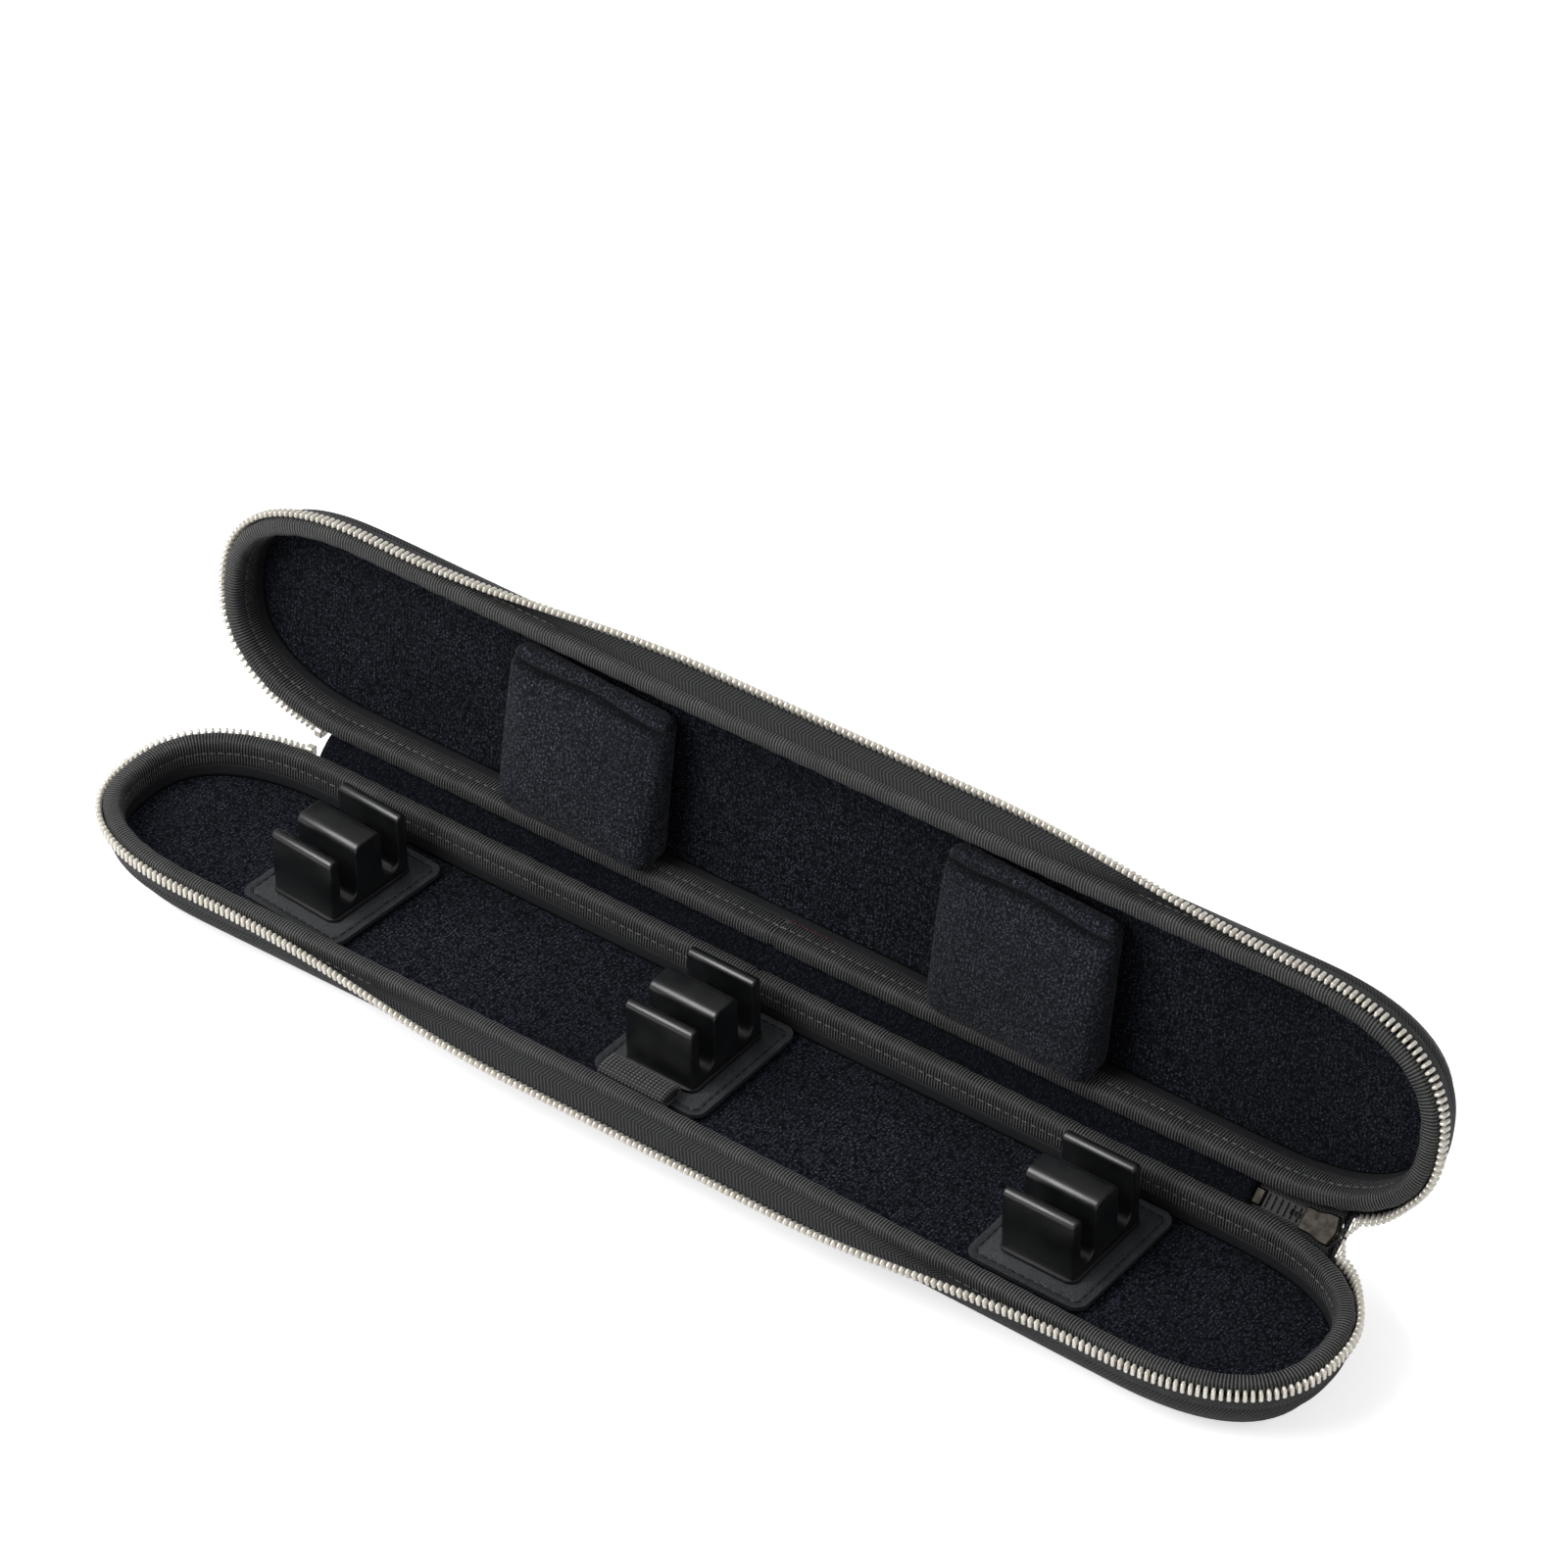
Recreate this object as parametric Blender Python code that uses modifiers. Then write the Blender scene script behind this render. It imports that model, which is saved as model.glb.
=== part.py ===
"""Baton case: a long zip-edged shell case, lying open on a table with its lid leaning back.

Metres, +Z up. X runs along the case, +Y towards the hinge, and the origin is the middle
of the base tray's underside. The base and the lid are the same moulded tray, mirrored
across the hinge. Each is built with its rim plane at the height zero of its own frame.
"""

import math

import bmesh
import bpy
from mathutils import Euler, Matrix, Vector

# Rim outline of a tray, seen from above
RIM_LENGTH = 0.460
HALF_WIDTH = 0.038
FRONT_WAIST = 0.0025
END_REACH = 0.058
END_POWER = 2.4
END_STEPS = 9
SIDE_STEPS = 5
FINE_END_STEPS = 45
FINE_SIDE_STEPS = 120

# Moulded shell
TRAY_DEPTH = 0.026
SHELL_INSET = 0.0012
SHELL_WALL = 0.0032
SHELL_DRAFT = 0.002
SHELL_ROUND = 0.012
SHELL_ROUND_STEPS = 3

# Running clearance between touching pieces
FIT = 0.0003

# Grosgrain binding over the rim, the liner band below it and the padded floor
BINDING_THICK = 0.0009
BINDING_OUTER_DROP = 0.0075
BINDING_INNER_DROP = 0.0072
BINDING_ROUND = 0.0012
BINDING_ROUND_STEPS = 2
BAND_THICK = 0.0006
FLOOR_DROP = 0.0138
FLOOR_ROUND_STEPS = 4

# Zip tape and metal teeth
TAPE_THICK = 0.0007
TAPE_ROOT_DROP = 0.0135
TAPE_BEND_DROP = 0.0092
TAPE_KNEE_DROP = 0.0083
TAPE_KNEE_OUT = 0.00025
TAPE_FREE = 0.0040
TAPE_END_STEP = 0.0075
TAPE_SIDE_STEP = 0.019
TOOTH_PITCH = 0.00218
TOOTH_SHARE = 0.56
TOOTH_TALL = 0.0040
TOOTH_THICK = 0.0026
TOOTH_ROOT_THICK = 0.0008
BEAD_TALL = 0.0013
END_LEAN = math.radians(14)
SIDE_LEAN = math.radians(78)
MOUTH_LEAN = math.radians(55)
TOOTH_LEAN_SHARE = 0.5
FLARE_CENTRE = 0.010
FLARE_HALF = 0.150
FLARE_BLEND = 0.075
MOUTH_BLEND = 0.045
ZIP_LEFT_MARGIN = 0.0445
ZIP_RIGHT_MARGIN = 0.0255
ZIP_LEFT_END = RIM_LENGTH / 2 - ZIP_LEFT_MARGIN
ZIP_RIGHT_END = RIM_LENGTH / 2 - ZIP_RIGHT_MARGIN
STOP_LONG = 0.0032
STOP_THICK = 0.0034
STOP_ROUND = 0.0005

# Folding spine between the trays
RIM_GAP = 0.0006
SPINE_WIDTH = 0.006
SPINE_STANDOFF = 0.0022
SPINE_THICK = 0.0014
SPINE_LEFT_MARGIN = 0.0525
SPINE_RIGHT_MARGIN = 0.0555
SPINE_LEFT_END = RIM_LENGTH / 2 - SPINE_LEFT_MARGIN
SPINE_RIGHT_END = RIM_LENGTH / 2 - SPINE_RIGHT_MARGIN
SPINE_EDGE_GAP = 0.0003
PLUSH_THICK = 0.0009
PLUSH_MARGIN = 0.0003
FLAP_THICK = 0.0012
FLAP_DROP = 0.0095
FOLD_ANGLE = math.radians(40.5)

# Closed stub of the zip on the spine, its stop, slider and pull tab
STUB_STOP_LONG = 0.0034
STUB_STOP_THICK = 0.0028
STUB_TAPE_THICK = 0.0008
STUB_CHAIN_WIDTH = 0.0046
STUB_CHAIN_THICK = 0.0022
STUB_RIGHT_MARGIN = 0.0285
STUB_RIGHT_END = RIM_LENGTH / 2 - STUB_RIGHT_MARGIN
SLIDER_LEFT_MARGIN = 0.0380
SLIDER_LEFT_END = RIM_LENGTH / 2 - SLIDER_LEFT_MARGIN
SLIDER_LENGTH = 0.0120
SLIDER_THICK = 0.0040
SLIDER_TAIL_WIDTH = 0.0076
SLIDER_MOUTH_WIDTH = 0.0096
SLIDER_CHANNEL_THICK = 0.0028
SLIDER_POST_LONG = 0.0022
SLIDER_POST_WIDE = 0.0012
SLIDER_ROUND = 0.0005
BAIL_WIRE = 0.0007
BAIL_LONG = 0.0068
TAB_LENGTH = 0.0185
TAB_WIDTH = 0.0062
TAB_NECK_WIDTH = 0.0050
TAB_THICK = 0.0011
TAB_EYE_WIDTH = 0.0026
TAB_EYE_LONG = 0.0050
TAB_GRIP_ROUND = 0.0017
TAB_ROUND_STEPS = 5

# Slotted rubber holders on their leather patches
HOLDER_X_SHARES = (-0.3143, -0.0125, 0.2930)
HOLDER_YS = (0.0030, 0.0055, 0.0050)
HOLDER_YAWS = (math.radians(-4.0), math.radians(-0.7), math.radians(-0.4))
BLOCK_WIDTH = 0.0260
BLOCK_LENGTH = 0.0344
BLOCK_TALL = 0.0232
FIN_THICK = 0.0042
SLOT_WIDTH = 0.0071
SLOT_FLOOR = 0.0035
SLOT_STEPS = 6
BLOCK_ROUND = 0.0011
FOOT_MARGIN = 0.0010
FOOT_THICK = 0.0010
FOOT_ROUND = 0.0035
PATCH_WIDTH = 0.0423
PATCH_LENGTH = 0.0505
PATCH_THICK = 0.0015
PATCH_ROUND = 0.0045
HOOK_WIDTH = 0.034
HOOK_LENGTH = 0.040
HOOK_THICK = 0.0007
HOOK_ROUND = 0.003
CORNER_STEPS = 3

# Ribbed elastic loop for a pencil, sewn in front of the middle holder
LOOP_LENGTH = 0.0251
LOOP_SHIFT = 0.0020
LOOP_DEEP = 0.0095
LOOP_HIGH = 0.0048
LOOP_WALL = 0.0009
LOOP_FIN_GAP = 0.0015
LOOP_STEPS = 7

# Soft pads in the lid
PAD_WIDTH = 0.060
PAD_LENGTH = 0.0595
PAD_PROUD = 0.0036
PAD_CROWN = 0.0022
PAD_DRAW_IN = 0.0016
PAD_EDGE_ROUND = 0.0045
PAD_RIM_DISTANCE = 0.0070
PAD_X_SHARES = (-0.1739, 0.1887)
PAD_SEAM_DROP = 0.0062
PAD_SEAM_DEEP = 0.0011
PAD_SEAM_HALF = 0.0022
PAD_CUTS = (7, 7, 3)
PAD_CAGE_POWER = 1.35
PAD_HOOK_WIDTH = 0.040

SMOOTH_ANGLE = math.radians(35)
OVERRUN = 0.002
MERGE = 0.00001

for old in list(bpy.data.objects):
    bpy.data.objects.remove(old, do_unlink=True)

parts = bpy.data.collections.new("baton_case")
cutters = bpy.data.collections.new("cutters")
bpy.context.scene.collection.children.link(parts)
bpy.context.scene.collection.children.link(cutters)
cutters.hide_render = True


def material(name, colour, roughness, metallic=0.0):
    """A plain Principled material."""
    made = bpy.data.materials.new(name)
    made.use_nodes = True
    shader = made.node_tree.nodes["Principled BSDF"]
    shader.inputs["Base Color"].default_value = (*colour, 1.0)
    shader.inputs["Roughness"].default_value = roughness
    shader.inputs["Metallic"].default_value = metallic
    return made


LEATHERETTE = material("black_leatherette", (0.018, 0.018, 0.02), 0.5)
GROSGRAIN = material("black_grosgrain", (0.03, 0.03, 0.032), 0.8)
KNIT = material("navy_knit", (0.010, 0.013, 0.024), 0.95)
PLUSH = material("navy_plush", (0.014, 0.018, 0.034), 0.95)
SMOOTH_BAND = material("dark_band", (0.03, 0.032, 0.036), 0.55)
TWILL = material("black_twill", (0.025, 0.025, 0.028), 0.85)
NICKEL = material("nickel", (0.78, 0.74, 0.66), 0.25, 1.0)
RUBBER = material("black_rubber", (0.012, 0.012, 0.013), 0.4)
PATCH_LEATHER = material("patch_leather", (0.028, 0.028, 0.03), 0.55)
HOOK_TAPE = material("hook_tape", (0.012, 0.012, 0.014), 0.9)
ELASTIC = material("elastic", (0.05, 0.05, 0.055), 0.85)
VELOUR = material("grey_velour", (0.045, 0.052, 0.075), 0.95)


def place(name, data, parent, finish, collection=parts):
    """An object of this name that hangs on its parent's frame."""
    made = bpy.data.objects.new(name, data)
    collection.objects.link(made)
    made.parent = parent
    data.materials.append(finish)
    return made


def solid(name, bm, parent, finish, collection=parts):
    """The closed shape in bm as a named mesh object, shaded smooth across shallow edges."""
    bmesh.ops.recalc_face_normals(bm, faces=bm.faces)
    mesh = bpy.data.meshes.new(name)
    bm.to_mesh(mesh)
    bm.free()
    mesh.shade_smooth()
    mesh.set_sharp_from_angle(angle=SMOOTH_ANGLE)
    return place(name, mesh, parent, finish, collection)


def frame(name, parent, location, turn=(0.0, 0.0, 0.0)):
    """An empty that carries a body's pieces."""
    made = bpy.data.objects.new(name, None)
    parts.objects.link(made)
    made.parent = parent
    made.location = location
    made.rotation_euler = Euler(turn)
    return made


def bevelled(obj, width, segments, angle=SMOOTH_ANGLE):
    """Rounds the edges of obj that are sharper than the angle."""
    rounding = obj.modifiers.new("rounding", "BEVEL")
    rounding.width = width
    rounding.segments = segments
    rounding.limit_method = "ANGLE"
    rounding.angle_limit = angle
    return obj


def combined(obj, other, operation):
    """Joins other to obj, or cuts it out of obj."""
    other.hide_render = True
    other.display_type = "WIRE"
    step = obj.modifiers.new(other.name, "BOOLEAN")
    step.operation = operation
    step.object = other
    step.solver = "EXACT"
    return obj


def box_mesh(size, centre):
    """A box of this size about this centre."""
    bm = bmesh.new()
    shape = Matrix.Translation(centre) @ Matrix.Diagonal((*size, 1.0))
    bmesh.ops.create_cube(bm, size=1.0, matrix=shape)
    return bm


def flat_curve(name, outlines, thickness, parent, finish):
    """Flat outlines in the XY plane, filled and made as thick as asked, centred on their plane."""
    curve = bpy.data.curves.new(name, "CURVE")
    curve.dimensions = "2D"
    curve.fill_mode = "BOTH"
    curve.extrude = thickness / 2
    for points in outlines:
        spline = curve.splines.new("POLY")
        spline.points.add(len(points) - 1)
        for point, (x, y) in zip(spline.points, points):
            point.co = (x, y, 0.0, 1.0)
        spline.use_cyclic_u = True
    return place(name, curve, parent, finish)


def arc(centre_x, centre_y, radius, start, sweep, steps):
    """Points along an arc, both ends included."""
    turns = [start + sweep * i / steps for i in range(steps + 1)]
    return [(centre_x + radius * math.cos(t), centre_y + radius * math.sin(t)) for t in turns]


def rounded_rectangle(width, length, radius):
    """The outline of a rectangle with round corners, centred on zero."""
    x, y = width / 2 - radius, length / 2 - radius
    quarter = math.pi / 2
    points = []
    for i, (sx, sy) in enumerate(((1, 1), (-1, 1), (-1, -1), (1, -1))):
        points += arc(sx * x, sy * y, radius, i * quarter, quarter, CORNER_STEPS)
    return points


# Rim outline


def end_point(turn):
    """The point of the rounded end where the outline has turned by this angle from its tip."""
    if turn > math.radians(89.9):
        angle = math.pi / 2
    else:
        shape = 2 - 2 / END_POWER
        angle = math.atan((HALF_WIDTH / END_REACH * math.tan(turn)) ** (1 / shape))
    x = RIM_LENGTH / 2 - END_REACH + END_REACH * max(math.cos(angle), 0.0) ** (2 / END_POWER)
    return x, HALF_WIDTH * math.sin(angle) ** (2 / END_POWER)


def rim_outline(turns, side_steps):
    """Points and outward normals round the rim, anticlockwise from the right tip."""
    quarter = [end_point(math.pi / 2 * i / turns) for i in range(turns + 1)]
    straight = RIM_LENGTH / 2 - END_REACH
    side = [straight - 2 * straight * i / side_steps for i in range(1, side_steps)]
    rear = quarter + [(x, HALF_WIDTH) for x in side] + [(-x, y) for x, y in quarter[::-1]]
    front = [(-x, -y) for x, y in rear[1:-1]]
    front = [(x, y + FRONT_WAIST * -y / HALF_WIDTH * (1 - (2 * x / RIM_LENGTH) ** 2)) for x, y in front]
    points = [Vector(p) for p in rear + front]
    rim = []
    for i, point in enumerate(points):
        along = (points[(i + 1) % len(points)] - points[i - 1]).normalized()
        rim.append((point, Vector((along.y, -along.x))))
    return rim


RIM = rim_outline(END_STEPS, SIDE_STEPS)
FINE_RIM = rim_outline(FINE_END_STEPS, FINE_SIDE_STEPS)


def wall_offset(drop):
    """How far inside the rim outline the shell's outer face lies, at a depth under the rim."""
    return SHELL_INSET + SHELL_DRAFT * drop / TRAY_DEPTH


def ring(offset, drop, side):
    """The rim outline moved inwards and down. Side is 1 for the base and -1 for the lid."""
    points = [point - normal * offset for point, normal in RIM]
    return [Vector((p.x, side * p.y, -drop)) for p in points]


def loft(rings):
    """A closed body through rings that all have the same number of points."""
    bm = bmesh.new()
    loops = [[bm.verts.new(p) for p in points] for points in rings]
    for lower, upper in zip(loops, loops[1:]):
        for i in range(len(lower)):
            bm.faces.new((lower[i - 1], lower[i], upper[i], upper[i - 1]))
    bm.faces.new(loops[0])
    bm.faces.new(loops[-1])
    return bm


def rim_sweep(name, section, side, parent, finish):
    """A closed section of (offset, drop) points, carried round the rim as a curve's profile."""
    profile_curve = bpy.data.curves.new(name + "_profile", "CURVE")
    profile_curve.dimensions = "2D"
    spline = profile_curve.splines.new("POLY")
    spline.points.add(len(section) - 1)
    for point, (offset, drop) in zip(spline.points, section):
        point.co = (offset, -drop, 0.0, 1.0)
    spline.use_cyclic_u = True
    profile = place(name + "_profile", profile_curve, parent, finish, cutters)
    profile.hide_render = True
    profile.display_type = "WIRE"
    path = bpy.data.curves.new(name, "CURVE")
    path.dimensions = "2D"
    path.fill_mode = "NONE"
    points = [(p.x, side * p.y) for p, normal in RIM][::side]
    spline = path.splines.new("POLY")
    spline.points.add(len(points) - 1)
    for point, (x, y) in zip(spline.points, points):
        point.co = (x, y, 0.0, 1.0)
    spline.use_cyclic_u = True
    path.bevel_mode = "OBJECT"
    path.bevel_object = profile
    return place(name, path, parent, finish)


# Trays: shell, floor pad, band and binding


def shell(name, side, parent):
    """The moulded outer shell: a drafted wall and floor with a round corner, open upwards."""
    bm = bmesh.new()
    floor = [bm.verts.new(p) for p in ring(wall_offset(TRAY_DEPTH), TRAY_DEPTH, side)]
    top_drop = BINDING_THICK + FIT
    top = [bm.verts.new(p) for p in ring(wall_offset(top_drop), top_drop, side)]
    bm.faces.new(floor[::-side])
    for i in range(len(floor)):
        face = (floor[i - 1], floor[i], top[i], top[i - 1])
        bm.faces.new(face[::side])
    mesh = bpy.data.meshes.new(name)
    bm.to_mesh(mesh)
    bm.free()
    mesh.shade_smooth()
    obj = bevelled(place(name, mesh, parent, LEATHERETTE), SHELL_ROUND, SHELL_ROUND_STEPS)
    wall = obj.modifiers.new("wall", "SOLIDIFY")
    wall.thickness = SHELL_WALL
    wall.offset = -1
    wall.use_even_offset = True
    return obj


def floor_pad(name, side, parent):
    """Foam with a knitted face, filling the shell below the liner band."""
    draft = math.atan(SHELL_DRAFT / TRAY_DEPTH)
    outer_radius = SHELL_ROUND * math.tan((math.pi / 2 + draft) / 2)
    centre_drop = TRAY_DEPTH - outer_radius
    centre_offset = wall_offset(centre_drop) + outer_radius / math.cos(draft)
    # The shell's round corner is faceted, so its flats come nearer than its radius
    half_facet = (math.pi / 2 - draft) / (2 * SHELL_ROUND_STEPS)
    reach = (outer_radius - SHELL_WALL) * math.cos(half_facet) - FIT
    first = math.asin((FLOOR_DROP - centre_drop) / reach)
    rings = []
    for i in range(FLOOR_ROUND_STEPS + 1):
        turn = first + (math.pi / 2 - first) * i / FLOOR_ROUND_STEPS
        offset = centre_offset - reach * math.cos(turn)
        rings.append(ring(offset, centre_drop + reach * math.sin(turn), side))
    rings[0] = ring(wall_offset(FLOOR_DROP) + SHELL_WALL + FIT, FLOOR_DROP, side)
    return solid(name, loft(rings), parent, KNIT)


def liner_band(name, side, parent):
    """The smooth strip that lines the wall between the binding and the floor pad."""
    top, bottom = BINDING_INNER_DROP + FIT, FLOOR_DROP - FIT
    hidden = SHELL_WALL + FIT
    seen = hidden + BAND_THICK
    section = [
        (wall_offset(top) + seen, top),
        (wall_offset(bottom) + seen, bottom),
        (wall_offset(bottom) + hidden, bottom),
        (wall_offset(top) + hidden, top),
    ]
    return rim_sweep(name, section, side, parent, SMOOTH_BAND)


def binding(name, side, parent):
    """Grosgrain ribbon folded over the rim, its two legs sewn through the shell."""
    outer, inner = BINDING_OUTER_DROP, BINDING_INNER_DROP
    across = SHELL_WALL + FIT
    face_out = -(FIT + BINDING_THICK)
    face_in = across + BINDING_THICK
    middle = wall_offset(BINDING_ROUND)
    quarter, steps = -math.pi / 2, BINDING_ROUND_STEPS
    round_out = arc(middle + face_out + BINDING_ROUND, -BINDING_ROUND, BINDING_ROUND, math.pi, quarter, steps)
    round_in = arc(middle + face_in - BINDING_ROUND, -BINDING_ROUND, BINDING_ROUND, -quarter, quarter, steps)
    section = [(wall_offset(outer) + face_out, outer)]
    section += [(x, -y) for x, y in round_out + round_in]
    section += [
        (wall_offset(inner) + face_in, inner),
        (wall_offset(inner) + across, inner),
        (wall_offset(BINDING_THICK) + across, BINDING_THICK),
        (wall_offset(BINDING_THICK) - FIT, BINDING_THICK),
        (wall_offset(outer) - FIT, outer),
    ]
    return rim_sweep(name, section, side, parent, GROSGRAIN)


# Zip tape and teeth along the open rim


def rim_runs():
    """Points, outward normals and lengths once round the rim, from the middle of the rear side."""
    start = min(range(len(FINE_RIM)), key=lambda i: abs(FINE_RIM[i][0].x) - FINE_RIM[i][0].y)
    path = []
    run = 0.0
    for point, normal in FINE_RIM[start:] + FINE_RIM[: start + 1]:
        run += (point - path[-1][0]).length if path else 0.0
        path.append((point, normal, run))
    return path


RIM_RUNS = rim_runs()


def run_at(x):
    """The length along the rim at which the rear side passes this x."""
    for (point_a, normal, run_a), (point_b, normal, run_b) in zip(RIM_RUNS, RIM_RUNS[1:]):
        if point_a.y > 0 and point_b.x <= x < point_a.x:
            return run_a + (run_b - run_a) * (point_a.x - x) / (point_a.x - point_b.x)


ZIP_START = run_at(-ZIP_LEFT_END)
ZIP_LENGTH = run_at(ZIP_RIGHT_END) - ZIP_START


def smooth_share(value):
    """A share from 0 to 1 that starts and ends without a kink."""
    value = min(max(value, 0.0), 1.0)
    return value * value * (3 - 2 * value)


def zip_place(run):
    """Rim point, outward normal and the tape's lean at a length along the zip."""
    along = ZIP_START + run
    index = next(i for i in range(1, len(RIM_RUNS)) if RIM_RUNS[i][2] >= along)
    point_a, normal_a, run_a = RIM_RUNS[index - 1]
    point_b, normal_b, run_b = RIM_RUNS[index]
    share = (along - run_a) / (run_b - run_a)
    point = point_a.lerp(point_b, share)
    normal = normal_a.lerp(normal_b, share).normalized()
    flare = 0.0
    if point.y < 0:
        beyond = abs(point.x - FLARE_CENTRE) - FLARE_HALF
        flare = 1 - smooth_share((beyond + FLARE_BLEND) / FLARE_BLEND)
    lean = END_LEAN + (SIDE_LEAN - END_LEAN) * flare
    mouth = smooth_share(1 - (ZIP_LENGTH - run) / MOUTH_BLEND)
    lean += (MOUTH_LEAN - END_LEAN) * mouth
    return point, normal, lean


def tape_spot(point, normal, side, out, drop):
    """A place outside the rim by this much and below it by this much."""
    flat = point + normal * out
    return Vector((flat.x, side * flat.y, -drop))


def leaning(normal, side, lean):
    """The direction that leans outwards from upright by this angle."""
    return Vector((normal.x * math.sin(lean), side * normal.y * math.sin(lean), math.cos(lean)))


def tooth_root(run, side):
    """Where the tape's free edge is, just past it, and the frame of the teeth there."""
    point, normal, lean = zip_place(run)
    knee = tape_spot(point, normal, side, TAPE_KNEE_OUT, TAPE_KNEE_DROP)
    root = knee + leaning(normal, side, lean) * (TAPE_FREE + FIT)
    rise = leaning(normal, side, lean * TOOTH_LEAN_SHARE)
    across = leaning(normal, side, lean * TOOTH_LEAN_SHARE + math.pi / 2)
    return root, rise, across


def zip_tape(name, side, parent):
    """Twill tape sewn to the shell below the binding and leaning out from it to the teeth."""
    half = TAPE_THICK / 2
    runs = [0.0]
    while runs[-1] < ZIP_LENGTH:
        point, normal, lean = zip_place(runs[-1])
        rounded = abs(point.x) > RIM_LENGTH / 2 - END_REACH
        runs.append(runs[-1] + (TAPE_END_STEP if rounded else TAPE_SIDE_STEP))
    runs[-1] = ZIP_LENGTH
    sections = []
    for run in runs:
        point, normal, lean = zip_place(run)
        lying = -(FIT + half)
        centre = [
            tape_spot(point, normal, side, -wall_offset(TAPE_ROOT_DROP) - lying, TAPE_ROOT_DROP),
            tape_spot(point, normal, side, -wall_offset(TAPE_BEND_DROP) - lying, TAPE_BEND_DROP),
            tape_spot(point, normal, side, TAPE_KNEE_OUT, TAPE_KNEE_DROP),
        ]
        centre.append(centre[2] + leaning(normal, side, lean) * TAPE_FREE)
        outward = leaning(normal, side, math.pi / 2)
        tip_across = leaning(normal, side, lean + math.pi / 2)
        knee_across = leaning(normal, side, (lean + math.pi / 2 + math.pi / 2) / 2)
        faces = [outward * half, outward * half, knee_across * half, tip_across * half]
        section = [c + f for c, f in zip(centre, faces)]
        section += [c - f for c, f in zip(centre, faces)][::-1]
        sections.append(section)
    return solid(name, loft(sections), parent, TWILL)


def tooth_row(name, side, parent):
    """Every metal tooth of one tape, standing on the bead that runs between them."""
    bm = bmesh.new()
    first = FIT + STOP_LONG + FIT
    count = int((ZIP_LENGTH - first) / TOOTH_PITCH)
    gap = TOOTH_PITCH * (1 - TOOTH_SHARE)

    def corners(run, level):
        root, rise, across = tooth_root(run, side)
        width = TOOTH_ROOT_THICK + (TOOTH_THICK - TOOTH_ROOT_THICK) * level / TOOTH_TALL
        spot = root + rise * level
        return [bm.verts.new(spot + across * width * s / 2) for s in (-1, 1)]

    # Each notch is a pair of low corners and a root point, each tooth two pairs of high ones
    notches = []
    for i in range(count + 1):
        run = first + TOOTH_PITCH * i
        notches.append((bm.verts.new(tooth_root(run, side)[0]), *corners(run, BEAD_TALL)))
    for i in range(count):
        start = first + TOOTH_PITCH * i + gap / 2
        near = corners(start, TOOTH_TALL)
        far = corners(start + TOOTH_PITCH - gap, TOOTH_TALL)
        before, after = notches[i], notches[i + 1]
        bm.faces.new((near[0], near[1], far[1], far[0]))
        bm.faces.new((before[1], before[2], near[1], near[0]))
        bm.faces.new((after[1], after[2], far[1], far[0]))
        for s in (0, 1):
            bm.faces.new((before[0], after[0], after[1 + s], far[s], near[s], before[1 + s]))
    bm.faces.new(notches[0])
    bm.faces.new(notches[-1])
    return solid(name, bm, parent, NICKEL)


def top_stop(name, side, parent):
    """The metal stop clenched on the tape's end, where the teeth begin."""
    root, rise, across = tooth_root(FIT + STOP_LONG / 2, side)
    turn = Matrix((rise.cross(across), across, rise)).transposed().to_4x4()
    bm = box_mesh((STOP_LONG, STOP_THICK, TOOTH_TALL - FIT), (0.0, 0.0, (TOOTH_TALL + FIT) / 2))
    bmesh.ops.transform(bm, matrix=Matrix.Translation(root) @ turn, verts=bm.verts)
    obj = solid(name, bm, parent, NICKEL)
    return bevelled(obj, STOP_ROUND, 1)


def tray(prefix, side, parent):
    """One whole tray with its rim plane at height zero of its parent."""
    shell(prefix + "shell", side, parent)
    floor_pad(prefix + "floor_pad", side, parent)
    liner_band(prefix + "liner_band", side, parent)
    binding(prefix + "binding", side, parent)
    zip_tape(prefix + "zip_tape", side, parent)
    tooth_row(prefix + "zip_teeth", side, parent)
    top_stop(prefix + "top_stop", side, parent)
    low = FLAP_DROP
    high = (SPINE_WIDTH - RIM_GAP) / 2
    length = SPINE_LEFT_END + SPINE_RIGHT_END
    middle = (SPINE_RIGHT_END - SPINE_LEFT_END) / 2
    y = side * (HALF_WIDTH + FIT + FLAP_THICK / 2)
    flap = box_mesh((length, FLAP_THICK, low - high), (middle, y, -(low + high) / 2))
    solid(prefix + "spine_flap", flap, parent, LEATHERETTE)


base = frame("base", None, (0.0, 0.0, TRAY_DEPTH))
tray("base_", 1, base)

# Spine and lid frames, each on its own fold line

fold_drop = (SPINE_WIDTH - RIM_GAP) / 2
fold_y = HALF_WIDTH + SPINE_STANDOFF
spine = frame("spine", None, (0.0, fold_y, TRAY_DEPTH - fold_drop), (FOLD_ANGLE, 0.0, 0.0))
lid_fold = frame("lid_fold", spine, (0.0, SPINE_WIDTH, 0.0), (FOLD_ANGLE, 0.0, 0.0))
lid = frame("lid", lid_fold, (0.0, SPINE_STANDOFF + HALF_WIDTH, fold_drop))
tray("lid_", -1, lid)

# Spine band, its plush facing, and the closed stub of the zip

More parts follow.
